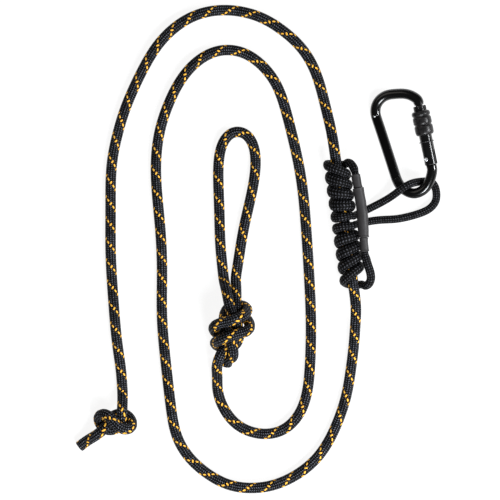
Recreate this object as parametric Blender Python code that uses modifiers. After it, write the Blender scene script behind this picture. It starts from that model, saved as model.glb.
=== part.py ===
# Tree climbing lanyard: a spiral of kernmantle rope with a stopper knot and a loop knot,
# a friction hitch that slides on it, and a screw-lock carabiner held in the hitch's bight.
# Metres, +Z up. The lanyard lies on the plane z = 0, and the origin is below its middle.
import math

import bmesh
import bpy
import numpy as np
from mathutils import Matrix, Vector

# Places along the cords are chosen on a picture taken from straight above, so they are
# in its pixels, with x to the right and y down. PIXEL is the real size of one of them.
PIXEL = 0.00102
ORIGIN_PIXEL = (258.226, 249.02)

# Clearances
SEAT_GAP = 0.0003
RUNNING_GAP = 0.00035
CUT_OVERRUN = 0.002

# Shares of a cord's diameter: its straight lead, and how far a chord may leave its bend
LEAD_SHARE = 0.18
BEND_SHARE = 0.04

# Rope
ROPE_DIAMETER = 0.011
ROPE_SAGITTA = 0.0009
ROPE_FACETS_RESOLUTION = 2
ROPE_STEP_SHARES = (1.3, 3.0)
HITCH_RAMP_LENGTH = 0.062

# Knots
KNOT_GAP = 0.001
KNOT_BEND_SHARE = 0.6
KNOT_POINT_SHARE = 0.45
KNOT_PULL_SHARE = 0.5
KNOT_LAST_PULL_SHARE = 0.1
KNOT_LAST_PASSES = 60
SINK_SHARE = 0.02
STOPPER_SIZE_SHARE = 1.0
STOPPER_BEND_SHARE = 0.5
STOPPER_TILT = -25.0
STOPPER_HEIGHT_SHARE = 1.45
STOPPER_REACH_SHARE = 1.7
STOPPER_PASSES = 1500
STOPPER_SEAT_PASSES = 100
LOOP_SIZE_SHARE = 2.4
LOOP_PAIR_SHARE = 0.53
LOOP_DRAWN_GAP = 0.0012
LOOP_HEIGHT_SHARE = 2.3
LOOP_BODY_SHARE = 2.4
LOOP_REACH_SHARE = 2.7
LOOP_PASSES = 500
LOOP_SEAT_PASSES = 80
TAIL_LIFT_SHARES = (0.3, 0.6)

# Hitch cord and its turns round the rope
HITCH_CORD_DIAMETER = 0.008
BRIDGE_DIAMETER = 0.0088
BRIDGE_PRESSED_DIAMETER = 0.0072
BRIDGE_SWELL_LENGTH = 0.005
HITCH_TURNS = 4.875
TURN_POINTS = 24
TURN_THICKNESS = 0.0078
TURN_GAP = 0.0007
LEG_SPACING = 0.0090
WAIST_SPACING = 0.0118
INNER_PITCH = 0.0107
OUTER_PITCH = 0.0134
LOWER_END_REACH = 0.0078
LOWER_REACH_TURN = 4.5
REACH_TURNS = 0.375
TURN_TAPER_TURNS = 0.8
HITCH_LEAN = 8.0
HITCH_GROUND_GAP = 0.00025
HITCH_PIXEL = (344.3, 221.8)
LEG_LEAN_SHARES = (0.30, 0.10)
BIGHT_RISE_SHARE = 1.06

# Sleeves over the sewn lap of the hitch cord
SLEEVE_GAP = 0.0005
SLEEVE_MAIN_DIAMETER = 0.0117
SLEEVE_TIER_DIAMETER = 0.0096
LAP_PLACE = 0.004

# Carabiner
BAR_DIAMETER = 0.0106
FRAME_REACH = 0.0461
TOP_BOW_RISE = 0.0147
FOOT_BOW_DROP = 0.0236
HINGE_END_DEPTH = 0.0072
SPINE_FLAT_THICKNESS = 0.0080
SPINE_FLAT_LENGTH = 0.066
NECK_DIAMETER = 0.0096
NECK_LENGTH = 0.0015
SHOULDER_HEIGHT = 0.0580
TONGUE_THICKNESS = 0.0040
TONGUE_WIDTH = 0.0068
TONGUE_LENGTH = 0.0050
NOTCH_HEIGHT = 0.0026
NOTCH_FLOOR = 0.0011
CARABINER_LEAN = 11.5
CARABINER_ROLL = 15.5
GATE_PIXEL = (429.8, 159.5)

# Gate
GATE_DIAMETER = 0.0132
GATE_TIP_GAP = 0.0011
GATE_FOOT = 0.0056
TAB_THICKNESS = 0.0046
RIVET_DIAMETER = 0.0044
RIVET_OFFSET = 0.0031
RIVET_HEIGHT = 0.0006
LATCH_PIN_DIAMETER = 0.0018
GATE_TRAVEL = 25.0
PLUNGER_DIAMETER = 0.0042
PLUNGER_LENGTH = 0.0070
PLUNGER_TIP_HEIGHT = 0.0061
PLUNGER_RATIO = 0.0046
SPRING_WIRE = 0.0007
SPRING_CURLS = 9
SPRING_LENGTH = 0.020
STOP_RING_HEIGHT = 0.0183
STOP_RING_WIRE = 0.0009

# Lock sleeve
LOCK_DIAMETER = 0.0189
LOCK_LENGTH = 0.0249
LOCK_FOOT = 0.0252
LOCK_GROOVE_DEPTH = 0.0011

ROPE_RADIUS = ROPE_DIAMETER / 2
CORD_RADIUS = HITCH_CORD_DIAMETER / 2
BAR_RADIUS = BAR_DIAMETER / 2
ROPE_AXIS_HEIGHT = ROPE_RADIUS * math.cos(math.pi / (4 + 2 * ROPE_FACETS_RESOLUTION))
TURN_RADIUS = ROPE_RADIUS + RUNNING_GAP + TURN_THICKNESS / 2
HITCH_HEIGHT = TURN_RADIUS + TURN_THICKNESS / 2 + HITCH_GROUND_GAP

# Routes, each a list of pixels chosen along the middle of the cord
OUTER_RUN = [(121.0, 371.0), (118.0, 350.0), (113.4, 302.0), (110.6, 254.0),
             (110.5, 206.0), (112.4, 158.0), (117.2, 134.9), (123.9, 112.0), (133.0, 89.5),
             (143.5, 68.0), (155.8, 47.3), (172.0, 29.5), (192.1, 16.4), (215.4, 10.2),
             (239.6, 11.0), (262.7, 17.9), (283.2, 30.6), (300.9, 46.9), (313.7, 67.2),
             (321.5, 90.0), (327.2, 113.4), (331.0, 130.0)]
INNER_RUN = [(355.6, 318.0), (353.9, 345.0), (350.6, 372.0), (346.5, 395.6), (339.2, 418.5),
             (329.3, 440.4), (315.5, 460.0), (296.6, 475.1), (274.7, 485.1), (250.9, 488.4),
             (227.1, 484.6), (206.0, 473.0), (188.2, 456.7), (176.4, 435.7), (171.5, 412.0),
             (165.9, 364.3), (161.9, 316.4), (162.0, 268.4), (159.5, 220.4), (155.8, 172.5),
             (161.1, 124.9), (169.1, 102.2), (180.0, 80.8), (195.5, 62.5), (216.7, 50.8),
             (241.0, 51.5), (261.6, 64.6), (276.3, 83.8), (284.8, 106.4), (290.9, 129.6),
             (300.9, 176.6), (305.9, 224.4), (309.0, 272.3), (311.0, 320.3), (309.9, 368.3),
             (307.3, 392.2), (299.1, 414.8), (281.3, 431.3), (256.9, 433.7), (234.9, 423.5),
             (221.6, 404.5)]
EYE_RUN = [(220.4, 246.0), (219.4, 214.0), (218.3, 182.0), (219.4, 154.0),
           (225.4, 137.5), (236.2, 130.2), (248.0, 135.0), (255.0, 150.5), (255.6, 167.2),
           (250.4, 199.0), (243.4, 230.1)]
STOPPER_PIXEL = (116.5, 421.5)
STOPPER_LEAD = [(122.2, 388.0), (122.4, 391.5), (122.6, 395.0)]
STOPPER_TAIL = [(87.0, 440.5), (83.0, 443.8), (79.2, 446.8)]
LOOP_PIXEL = (232.0, 327.0)
LOOP_STANDING = [(217.2, 386.0), (217.2, 380.0), (217.4, 374.0)]
LOOP_TAIL = [(226.6, 364.6), (226.7, 361.6), (226.8, 358.6)]
LOOP_LEFT_LEG = [(223.6, 279.0), (223.2, 275.0), (222.8, 271.0)]
LOOP_RIGHT_LEG = [(235.4, 279.0), (236.0, 275.5), (236.8, 271.0)]
# The bight of the hitch cord: pixels, and how far its middle is above the ground
BIGHT_OUT = [((386.8, 199.4), 0.0075), ((394.5, 194.2), 0.0128)]
BIGHT_OVER = (403.3, 187.6)
BIGHT_BETWEEN = [((408.6, 184.6), 0.0143), ((413.6, 182.8), 0.0100), ((418.8, 181.8), 0.0062)]
BIGHT_UNDER = (425.6, 181.2)
BIGHT_ROUND = [(430.8, 181.8), (434.6, 185.4), (436.6, 192.5), (436.0, 200.5), (430.5, 208.0),
               (420.0, 213.3), (408.0, 216.8), (396.0, 219.0), (382.0, 219.8)]
# The bridge of the hitch: across and along the rope, and above its middle
BRIDGE_UPPER = [(0.0106, 0.0590, -0.0030), (0.0138, 0.0580, 0.0012), (0.0160, 0.0548, 0.0050),
                (0.0172, 0.0495, 0.0080)]
SLEEVE_SPLITS = (0.0322, -0.0186)
SLEEVE_ENDS = (0.0455, -0.0330)
BRIDGE_SEWN = [(0.0176, 0.0420, 0.0093), (0.0182, 0.0310, 0.0098), (0.0188, 0.0160, 0.0098),
               (0.0181, -0.0030, 0.0098), (0.0166, -0.0200, 0.0098), (0.0158, -0.0360, 0.0098)]
BRIDGE_LOWER = [(0.0170, -0.0460, 0.0098), (0.0184, -0.0540, 0.0092), (0.0184, -0.0605, 0.0072),
                (0.0160, -0.0655, 0.0036), (0.0112, -0.0672, -0.0020)]
# The middle of the carabiner's bar, as shares: how far from the gate's axis towards the
# spine, and how far above the shoulder or below the hinge end
TOP_BOW_SHARES = [(0.0, 0.0), (0.007, 0.218), (0.065, 0.463), (0.163, 0.70), (0.325, 0.898),
                  (0.466, 0.973), (0.672, 1.0), (0.842, 0.796), (0.95, 0.442), (1.0, -0.034),
                  (0.991, -0.612)]
FOOT_BOW_SHARES = [(0.852, -0.013), (0.794, 0.517), (0.633, 0.898), (0.518, 1.0), (0.388, 0.992),
                   (0.249, 0.873), (0.115, 0.602), (0.033, 0.314), (0.0, 0.076), (0.0, 0.0)]
BAR_RUN = ([(-across * FRAME_REACH, SHOULDER_HEIGHT + rise * TOP_BOW_RISE)
            for across, rise in TOP_BOW_SHARES]
           + [(-across * FRAME_REACH, -HINGE_END_DEPTH - drop * FOOT_BOW_DROP)
              for across, drop in FOOT_BOW_SHARES])
SPINE_TOP = BAR_RUN[len(TOP_BOW_SHARES) - 1]
SPINE_FOOT = BAR_RUN[len(TOP_BOW_SHARES)]


def make_collection(name):
    found = bpy.data.collections.new(name)
    bpy.context.scene.collection.children.link(found)
    return found


def clear_scene():
    for item in list(bpy.data.objects):
        bpy.data.objects.remove(item, do_unlink=True)


def make_material(name, colour, roughness, metallic):
    made = bpy.data.materials.new(name)
    made.use_nodes = True
    shader = made.node_tree.nodes["Principled BSDF"]
    shader.inputs["Base Color"].default_value = (*colour, 1.0)
    shader.inputs["Roughness"].default_value = roughness
    shader.inputs["Metallic"].default_value = metallic
    return made


# Points and curves

def on_plan(pixel, height):
    across = (pixel[0] - ORIGIN_PIXEL[0]) * PIXEL
    along = (ORIGIN_PIXEL[1] - pixel[1]) * PIXEL
    return np.array([across, along, height])


def plan_points(pixels, height):
    return np.array([on_plan(pixel, height) for pixel in pixels])


def lengths_along(points):
    steps = np.linalg.norm(np.diff(points, axis=0), axis=1)
    return np.concatenate([[0.0], np.cumsum(steps)])


def read_at(points, places):
    along = lengths_along(points)
    return np.stack([np.interp(places, along, points[:, axis]) for axis in range(3)], axis=1)


def respace(points, count):
    return read_at(points, np.linspace(0.0, lengths_along(points)[-1], count))


def smooth_curve(points, per_span=16):
    # Natural cubic spline through the points, by the distance between them
    points = np.asarray(points, dtype=float)
    knots = lengths_along(points)
    count = len(points)
    spans = np.diff(knots)
    matrix = np.zeros((count, count))
    matrix[0, 0] = 1.0
    matrix[-1, -1] = 1.0
    right = np.zeros((count, 3))
    for row in range(1, count - 1):
        matrix[row, row - 1] = spans[row - 1]
        matrix[row, row] = 2 * (spans[row - 1] + spans[row])
        matrix[row, row + 1] = spans[row]
        slope_after = (points[row + 1] - points[row]) / spans[row]
        slope_before = (points[row] - points[row - 1]) / spans[row - 1]
        right[row] = 6 * (slope_after - slope_before)
    bends = np.linalg.solve(matrix, right)
    found = []
    for row in range(count - 1):
        share = np.linspace(0.0, 1.0, per_span, endpoint=False)[:, None]
        span = spans[row]
        low = points[row] * (1 - share) + points[row + 1] * share
        curl = ((1 - share) ** 3 - (1 - share)) * bends[row] + (share ** 3 - share) * bends[row + 1]
        found.append(low + curl * span ** 2 / 6)
    found.append(points[-1:])
    return np.vstack(found)


def read_by_bend(curve, sagitta, least, most):
    # Points closer together where the curve bends more
    along = lengths_along(curve)
    heading = np.gradient(curve, along, axis=0)
    bend = np.linalg.norm(np.gradient(heading, along, axis=0), axis=1) + 1e-9
    step = np.clip(np.sqrt(8 * sagitta / bend), least, most)
    density = np.concatenate([[0.0], np.cumsum(np.diff(along) / (0.5 * (step[1:] + step[:-1])))])
    count = max(int(math.ceil(density[-1])), 2)
    places = np.interp(np.linspace(0.0, density[-1], count + 1), density, along)
    return read_at(curve, places)


def trim(curve, start, end):
    length = lengths_along(curve)[-1]
    inside = [place for place in lengths_along(curve) if start < place < length - end]
    return read_at(curve, np.concatenate([[start], inside, [length - end]]))


def unit(vector):
    return vector / np.linalg.norm(vector)


def end_of(path, at_start):
    # A place just past the end of a path, and which way the path points there
    one, two = (path[0], path[1]) if at_start else (path[-1], path[-2])
    return one + unit(one - two) * SEAT_GAP, unit(one - two)


def led(points, start, end, diameter):
    # Points between two neighbours' ends, each left square to it
    first, last = start[0] + start[1] * SEAT_GAP, end[0] + end[1] * SEAT_GAP
    lead = diameter * LEAD_SHARE
    return np.vstack([first, first + start[1] * lead, points, last + end[1] * lead, last])


def squared(points, start, end, diameter):
    lead = diameter * LEAD_SHARE
    first, last = start[0] + start[1] * SEAT_GAP, end[0] + end[1] * SEAT_GAP
    return np.vstack([first, first + start[1] * lead, points[1:-1], last + end[1] * lead, last])


def ease(share):
    share = np.clip(share, 0.0, 1.0)
    return share * share * (3 - 2 * share)


# Knots: a loose knot from a formula is drawn tight until its strands touch

def settle(strands, diameter, centre, passes, floor, sink, bend_share, pull_share):
    keep = 3
    counts = [len(strand) for strand in strands]
    ends = np.cumsum(counts)
    starts = ends - counts
    points = np.vstack(strands)
    total = len(points)
    which = np.repeat(np.arange(len(strands)), counts)
    held = np.zeros(total, bool)
    weight = np.zeros(total)
    for start, end in zip(starts, ends):
        held[start:start + keep] = True
        held[end - keep:end] = True
        weight[start:end] = np.sin(np.linspace(0.0, np.pi, end - start)) ** 2
    weight[held] = 0.0
    first, second = np.triu_indices(total, 2)
    same = which[first] == which[second]
    least_bend = bend_share * diameter
    push_share, reach_share = 0.6, 0.35
    drift_share = 0.05 if pull_share == KNOT_PULL_SHARE else 0.0
    for turn in range(passes):
        moved = points.copy()
        moved[1:-1] += pull_share * (0.5 * (points[:-2] + points[2:]) - points[1:-1])
        moved[held] = points[held]
        points = moved
        middle = (points * weight[:, None] ** 4).sum(axis=0) / (weight ** 4).sum()
        points[:, :2] += drift_share * weight[:, None] * (centre[:2] - middle[:2])
        points[:, 2] -= sink * weight * diameter
        if turn % 5 == 0:
            steps = [np.linalg.norm(np.diff(points[start:end], axis=0), axis=1).mean()
                     for start, end in zip(starts, ends)]
            arcs = (second - first) * np.array(steps)[which[first]]
            chord = 2 * least_bend * np.sin(np.clip(arcs / (2 * least_bend), 0.0, np.pi / 2))
            limit = np.where(same, np.minimum(diameter, 0.99 * chord), diameter)
            apart = np.linalg.norm(points[first] - points[second], axis=1)
            close = np.nonzero(apart < limit + reach_share * diameter)[0]
            one, two, allowed = first[close], second[close], limit[close]
        for push in range(2):
            between = points[one] - points[two]
            apart = np.linalg.norm(between, axis=1) + 1e-12
            over = np.clip(allowed - apart, 0.0, None)
            move = between / apart[:, None] * over[:, None]
            sums = np.zeros_like(points)
            hits = np.zeros(total)
            np.add.at(sums, one, move)
            np.add.at(sums, two, -move)
            np.add.at(hits, one, over > 0)
            np.add.at(hits, two, over > 0)
            sums *= (push_share / np.sqrt(np.maximum(hits, 1)))[:, None]
            sums[held] = 0.0
            points = points + sums
            points[~held, 2] = np.maximum(points[~held, 2], floor)
        if turn % 10 == 9:
            for start, end in zip(starts, ends):
                span = slice(start + keep - 1, end - keep + 1)
                points[span] = respace(points[span], end - start - 2 * keep + 2)
    return [points[start:end] for start, end in zip(starts, ends)]


def least_gap(strands, diameter):
    # The least gap between strands, or of one to itself further on than a tight bend
    found = np.inf
    for one, first in enumerate(strands):
        for two, second in enumerate(strands):
            apart = np.linalg.norm(first[:, None] - second[None], axis=2)
            if one == two:
                step = lengths_along(first)[-1] / (len(first) - 1)
                place = np.arange(len(first)) * step
                apart[np.abs(place[:, None] - place[None]) < math.pi / 2 * diameter] = np.inf
            found = min(found, apart.min())
    return found - diameter


def open_trefoil(size):
    # A long overhand knot along Y
    share = np.linspace(-2.0, 2.0, 200)
    across = share ** 3 - 3 * share
    along = 0.42 * (share ** 5 - 10 * share)
    above = share ** 4 - 4 * share ** 2 + 2.2
    return size * np.stack([across, along, above], axis=1)


def loose_knot(size, lead, count):
    knot = open_trefoil(size)
    share = np.linspace(0.0, 1.0, 30)[:, None]
    low = np.array([0.0, knot[0, 1] - lead, 0.0])
    high = np.array([0.0, knot[-1, 1] + lead, 0.0])
    line = np.vstack([low * (1 - share) + knot[0] * share, knot[1:-1],
                      knot[-1] * (1 - share) + high * share])
    return respace(soften(line, 60), count)


def turned_about_z(points, degrees):
    cosine, sine = math.cos(math.radians(degrees)), math.sin(math.radians(degrees))
    across = cosine * points[:, 0] - sine * points[:, 1]
    along = sine * points[:, 0] + cosine * points[:, 1]
    return np.stack([across, along, points[:, 2]], axis=1)


def within(points, reach):
    # The part of a strand between its first and last places less than reach up or down
    near = np.nonzero(np.abs(points[:, 1]) < reach)[0]
    return points[near[0]:near[-1] + 1]


def soften(points, times):
    points = points.copy()
    for turn in range(times):
        points[1:-1] = 0.5 * points[1:-1] + 0.25 * (points[:-2] + points[2:])
    return points


def joined(lead_in, body, lead_out, count, times):
    share = np.linspace(0.0, 1.0, 30)[1:-1, None]
    way_in = lead_in[-1] * (1 - share) + body[0] * share
    way_out = body[-1] * (1 - share) + lead_out[0] * share
    middle = np.vstack([lead_in[-1:], way_in, body, way_out, lead_out[:1]])
    middle = respace(soften(middle, times), count)
    return np.vstack([lead_in[:-1], middle, lead_out[1:]])


def seated(paths, diameter, centre, passes, bend_share):
    # Drawn down to the ground for a while, and then only kept apart
    paths = settle(paths, diameter, centre, passes, ROPE_RADIUS, SINK_SHARE, bend_share,
                   KNOT_PULL_SHARE)
    return settle(paths, diameter, centre, KNOT_LAST_PASSES, ROPE_RADIUS, 0.0, bend_share,
                  KNOT_LAST_PULL_SHARE)


def stopper_path():
    centre = on_plan(STOPPER_PIXEL, STOPPER_HEIGHT_SHARE * ROPE_DIAMETER)
    gap_diameter = ROPE_DIAMETER + KNOT_GAP
    knot = loose_knot(STOPPER_SIZE_SHARE * ROPE_DIAMETER, ROPE_DIAMETER, 90)
    knot = settle([knot], gap_diameter, np.zeros(3), STOPPER_PASSES, -np.inf, 0.0,
                  STOPPER_BEND_SHARE, KNOT_PULL_SHARE)[0]
    middle = knot[25:-25].mean(axis=0)
    middle[1] = knot[:, 1].mean()
    knot = within(knot - middle, STOPPER_REACH_SHARE * ROPE_DIAMETER)[::-1]
    knot = turned_about_z(knot, STOPPER_TILT) + centre
    path = joined(plan_points(STOPPER_LEAD, ROPE_RADIUS), knot,
                  plan_points(STOPPER_TAIL, ROPE_RADIUS), 70, 6)
    return seated([path], gap_diameter, centre, STOPPER_SEAT_PASSES, STOPPER_BEND_SHARE)[0]


def side_frames(points):
    heading = np.gradient(points, axis=0)
    heading /= np.linalg.norm(heading, axis=1)[:, None]
    sides = np.zeros_like(points)
    side = np.cross(heading[0], (0.0, 0.0, 1.0))
    for row in range(len(points)):
        side = side - heading[row] * np.dot(side, heading[row])
        side = side / np.linalg.norm(side)
        sides[row] = side
    return heading, sides, np.cross(heading, sides)


def loop_paths():
    # Both passes of an overhand loop knot: from the standing rope, and from the tail
    line = loose_knot(LOOP_SIZE_SHARE * ROPE_DIAMETER, 0.0, 130)
    heading, sides, ups = side_frames(line)
    wanted = np.cross(heading[-1], (0.0, 0.0, 1.0))
    twist = math.atan2(np.dot(wanted, ups[-1]), np.dot(wanted, sides[-1]))
    twist = (twist + math.pi / 2) % math.pi - math.pi / 2
    angle = np.linspace(0.0, twist, len(line))[:, None]
    offset = LOOP_PAIR_SHARE * ROPE_DIAMETER * (sides * np.cos(angle) + ups * np.sin(angle))
    pair = settle([line - offset, line + offset], ROPE_DIAMETER + LOOP_DRAWN_GAP, np.zeros(3),
                  LOOP_PASSES, -np.inf, 0.0, KNOT_BEND_SHARE, KNOT_PULL_SHARE)
    along = np.vstack(pair)[:, 1]
    middle = np.array([0.0, (along.min() + along.max()) / 2, 0.0])
    pair = [strand - middle for strand in pair]
    body = np.vstack([strand[np.abs(strand[:, 1]) < LOOP_BODY_SHARE * ROPE_DIAMETER]
                      for strand in pair]).mean(axis=0) * (1, 0, 1)
    centre = on_plan(LOOP_PIXEL, LOOP_HEIGHT_SHARE * ROPE_DIAMETER)
    bodies = [within(strand, LOOP_REACH_SHARE * ROPE_DIAMETER) - body + centre for strand in pair]
    bodies.sort(key=lambda strand: strand[0, 0])
    legs = [plan_points(LOOP_LEFT_LEG, ROPE_RADIUS), plan_points(LOOP_RIGHT_LEG, ROPE_RADIUS)]
    if bodies[0][-1, 0] > bodies[1][-1, 0]:
        legs.reverse()
    standing = plan_points(LOOP_STANDING, ROPE_RADIUS)
    tail = plan_points(LOOP_TAIL, ROPE_RADIUS)
    tail[:, 2] += np.linspace(TAIL_LIFT_SHARES[0], TAIL_LIFT_SHARES[1], 3) * ROPE_DIAMETER
    paths = [joined(standing, bodies[0], legs[0], 95, 10), joined(tail, bodies[1], legs[1], 95, 10)]
    return seated(paths, ROPE_DIAMETER + KNOT_GAP, centre, LOOP_SEAT_PASSES, KNOT_BEND_SHARE)


# Solids

def finish(item, material, parts):
    item.data.materials.clear()
    item.data.materials.append(material)
    parts.objects.link(item)
    return item


def tube(name, points, radius, material, parts, resolution=2, twist="MINIMUM", tilt=0.0,
         scales=None):
    curve = bpy.data.curves.new(name, "CURVE")
    curve.dimensions = "3D"
    curve.twist_mode = twist
    curve.bevel_depth = radius
    curve.bevel_resolution = resolution
    curve.use_fill_caps = True
    line = curve.splines.new("POLY")
    line.points.add(len(points) - 1)
    for row, (spot, point) in enumerate(zip(line.points, points)):
        spot.co = (*[float(value) for value in point], 1.0)
        spot.tilt = tilt
        spot.radius = 1.0 if scales is None else float(scales[row])
    return finish(bpy.data.objects.new(name, curve), material, parts)


def ground_rope(name, points, material, parts):
    # A faceted rope turned so that one of its flats faces down
    sides = 4 + 2 * ROPE_FACETS_RESOLUTION
    return tube(name, points, ROPE_RADIUS, material, parts, ROPE_FACETS_RESOLUTION, "Z_UP",
                math.pi / sides)


def to_mesh(item, parts):
    graph = bpy.context.evaluated_depsgraph_get()
    mesh = bpy.data.meshes.new_from_object(item.evaluated_get(graph))
    name = item.name
    matrix = item.matrix_world.copy()
    bpy.data.objects.remove(item, do_unlink=True)
    work = bmesh.new()
    work.from_mesh(mesh)
    bmesh.ops.remove_doubles(work, verts=work.verts, dist=1e-6)
    bmesh.ops.recalc_face_normals(work, faces=work.faces)
    work.to_mesh(mesh)
    work.free()
    made = bpy.data.objects.new(name, mesh)
    made.matrix_world = matrix
    parts.objects.link(made)
    return made


def mesh_object(name, build, material, parts):
    mesh = bpy.data.meshes.new(name)
    work = bmesh.new()
    build(work)
    bmesh.ops.recalc_face_normals(work, faces=work.faces)
    work.to_mesh(mesh)
    work.free()
    return finish(bpy.data.objects.new(name, mesh), material, parts)


def round_edges(item, angle=40.0):
    item.data.shade_smooth()
    item.data.set_sharp_from_angle(angle=math.radians(angle))


def cylinder(work, radius, foot, top, segments, matrix=Matrix.Identity(4)):
    # A cylinder along +Y from foot to top
    turn = Matrix.Rotation(math.radians(-90.0), 4, "X")
    place = matrix @ Matrix.Translation((0.0, (foot + top) / 2, 0.0)) @ turn
    bmesh.ops.create_cone(work, cap_ends=True, segments=segments, radius1=radius, radius2=radius,
                          depth=top - foot, matrix=place)


def box(work, low, high):
    size = [high[axis] - low[axis] for axis in range(3)]
    middle = [(high[axis] + low[axis]) / 2 for axis in range(3)]
    place = Matrix.Translation(middle) @ Matrix.Diagonal((*size, 1.0))
    bmesh.ops.create_cube(work, size=1.0, matrix=place)


def cutter(name, build, cutters, matrix):
    item = mesh_object(name, build, CUT_MATERIAL[0], cutters)
    item.matrix_world = matrix
    item.hide_render = True
    item.display_type = "WIRE"
    return item


def boolean(item, other, operation):
    step = item.modifiers.new(other.name, "BOOLEAN")
    step.object = other
    step.operation = operation
    step.solver = "EXACT"


def turned(name, profile, segments, material, parts, ring=True):
    # A profile of (radius, height) pairs turned about local Y, outer side from top to bottom.
    # A ring's profile is closed, and any other starts and ends on the axis.
    def build(work):
        spots = [work.verts.new((radius, height, 0.0)) for radius, height in profile]
        pairs = list(zip(spots, spots[1:]))
        if ring:
            pairs.append((spots[-1], spots[0]))
        for one, two in pairs:
            work.edges.new((one, two))
    item = mesh_object(name, build, material, parts)
    step = item.modifiers.new("turn", "SCREW")
    step.axis = "Y"
    step.steps = segments
    step.render_steps = segments
    step.use_merge_vertices = True
    step.merge_threshold = 0.00001
    step.use_normal_calculate = True
    return item


# The hitch, in a frame with Y up the rope and X to the right of it

def turn_place(turns, side):
    # Where the middle of a strand is, that many turns out from the hitch's waist
    angle = 2 * math.pi * turns
    inner = LEG_SPACING / 2 + INNER_PITCH * turns
    outer = WAIST_SPACING / 2 + OUTER_PITCH * (turns - 0.5)
    share = (1 + math.cos(angle)) / 2
    along = inner * share + outer * (1 - share)
    if side < 0:
        along += LOWER_END_REACH * float(ease((turns - LOWER_REACH_TURN) / REACH_TURNS))
    return np.array([TURN_RADIUS * math.cos(angle), side * along, TURN_RADIUS * math.sin(angle)])


def strand_half_sizes(turns, slope):
    share = (1 + math.cos(2 * math.pi * turns)) / 2
    full = ((INNER_PITCH * share + OUTER_PITCH * (1 - share)) - TURN_GAP) * math.cos(slope)
    near = float(ease(turns / TURN_TAPER_TURNS))
    far = float(ease((HITCH_TURNS - turns) / TURN_TAPER_TURNS))
    width = HITCH_CORD_DIAMETER + (full - HITCH_CORD_DIAMETER) * near
    width = BRIDGE_DIAMETER + (width - BRIDGE_DIAMETER) * far
    thickness = TURN_THICKNESS
    return width / 2, thickness / 2


def winding(name, side, material, parts):
    # One group of turns: a loft of ellipses along the strand
    count = round(HITCH_TURNS * TURN_POINTS)
    places = [turn * HITCH_TURNS / count for turn in range(count + 1)]
    line = np.array([turn_place(turns, side) for turns in places])
    heading = np.gradient(line, axis=0)
    heading /= np.linalg.norm(heading, axis=1)[:, None]

    def build(work):
        rings = []
        for turns, point, along in zip(places, line, heading):
            angle = 2 * math.pi * turns
            outward = np.array([math.cos(angle), 0.0, math.sin(angle)])
            outward -= along * np.dot(outward, along)
            outward /= np.linalg.norm(outward)
            beside = np.cross(along, outward)
            slope = math.asin(min(abs(along[1]), 1.0))
            half_width, half_thickness = strand_half_sizes(turns, slope)
            ring = []
            for corner in range(8):
                around = math.pi * (corner + 0.5) / 4
                spot = (point + outward * half_thickness * math.cos(around)
                        + beside * half_width * math.sin(around))
                ring.append(work.verts.new(spot))
            rings.append(ring)
        for one, two in zip(rings, rings[1:]):
            for corner in range(8):
                after = (corner + 1) % 8
                work.faces.new((one[corner], one[after], two[after], two[corner]))
        work.faces.new(rings[0][::-1])
        work.faces.new(rings[-1])
    item = mesh_object(name, build, material, parts)
    round_edges(item, 60.0)
    gap = turn_gap(line, places, heading)
    print(name, "least gap between turns", round(gap * 1000, 2), "mm")
    return item


def turn_gap(line, places, heading):
    found = np.inf
    for row, turns in enumerate(places):
        other = row + TURN_POINTS
        if other < len(places):
            apart = np.linalg.norm(line[other] - line[row])
            slope = math.asin(min(abs(heading[row][1]), 1.0))
            halves = strand_half_sizes(turns, slope)[0] + strand_half_sizes(places[other], slope)[0]
            found = min(found, apart * math.cos(slope) - halves)
    return found


def hitch_matrix():
    place = on_plan(HITCH_PIXEL, HITCH_HEIGHT)
    return Matrix.Translation(place) @ Matrix.Rotation(math.radians(HITCH_LEAN), 4, "Z")


def hitch_to_world(points):
    matrix = hitch_matrix()
    return np.array([matrix @ Vector(point) for point in points])


def bridge_paths():
    upper_end = turn_place(HITCH_TURNS, 1)
    lower_end = turn_place(HITCH_TURNS, -1)
    start, end = (upper_end, turn_heading(1)), (lower_end, turn_heading(-1))
    way = led(np.array(BRIDGE_UPPER + BRIDGE_SEWN + BRIDGE_LOWER), start, end, BRIDGE_DIAMETER)
    return smooth_curve(way), start, end


def turn_heading(side, at_waist=False):
    # Which way an end of the winding points
    step = 1 / TURN_POINTS
    if at_waist:
        return unit(turn_place(0.0, side) - turn_place(step, side))
    return unit(turn_place(HITCH_TURNS, side) - turn_place(HITCH_TURNS - step, side))


def bridge_scales(points, curve, length):
    # The cord is pressed thin inside the sleeves, and starts as thick as the turns
    pressed = BRIDGE_PRESSED_DIAMETER / BRIDGE_DIAMETER
    start = TURN_THICKNESS / BRIDGE_DIAMETER
    high, low = at_along(curve, SLEEVE_ENDS[0]), at_along(curve, SLEEVE_ENDS[1])
    found = []
    for point in points:
        place = lengths_along(curve)[np.argmin(np.linalg.norm(curve - point, axis=1))]
        outside = max(high - place, place - low) - CORD_RADIUS
        outside = max(outside, 0.0) / BRIDGE_SWELL_LENGTH
        from_end = min(place, length - place) / BRIDGE_SWELL_LENGTH
        swell = pressed + (1.0 - pressed) * float(ease(outside))
        found.append(min(swell, start + (1.0 - start) * float(ease(from_end))))
    return found


def at_along(curve, along):
    # The part of a falling curve where its Y is the given value
    return float(np.interp(-along, -curve[:, 1], lengths_along(curve)))


def leg_points(side):
    # A leg leaves the waist of the hitch downwards, bends out and reaches the ground
    start = turn_place(0.0, side)
    drop = HITCH_HEIGHT - CORD_RADIUS
    lean_share = LEG_LEAN_SHARES[0] if side > 0 else LEG_LEAN_SHARES[1]
    found = []
    for share in (0.3, 0.55, 0.8, 1.0):
        angle = share * math.pi / 2
        out = drop * (1 - math.cos(angle))
        found.append(start + np.array([out, out * lean_share, -drop * math.sin(angle)]))
    return found


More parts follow.
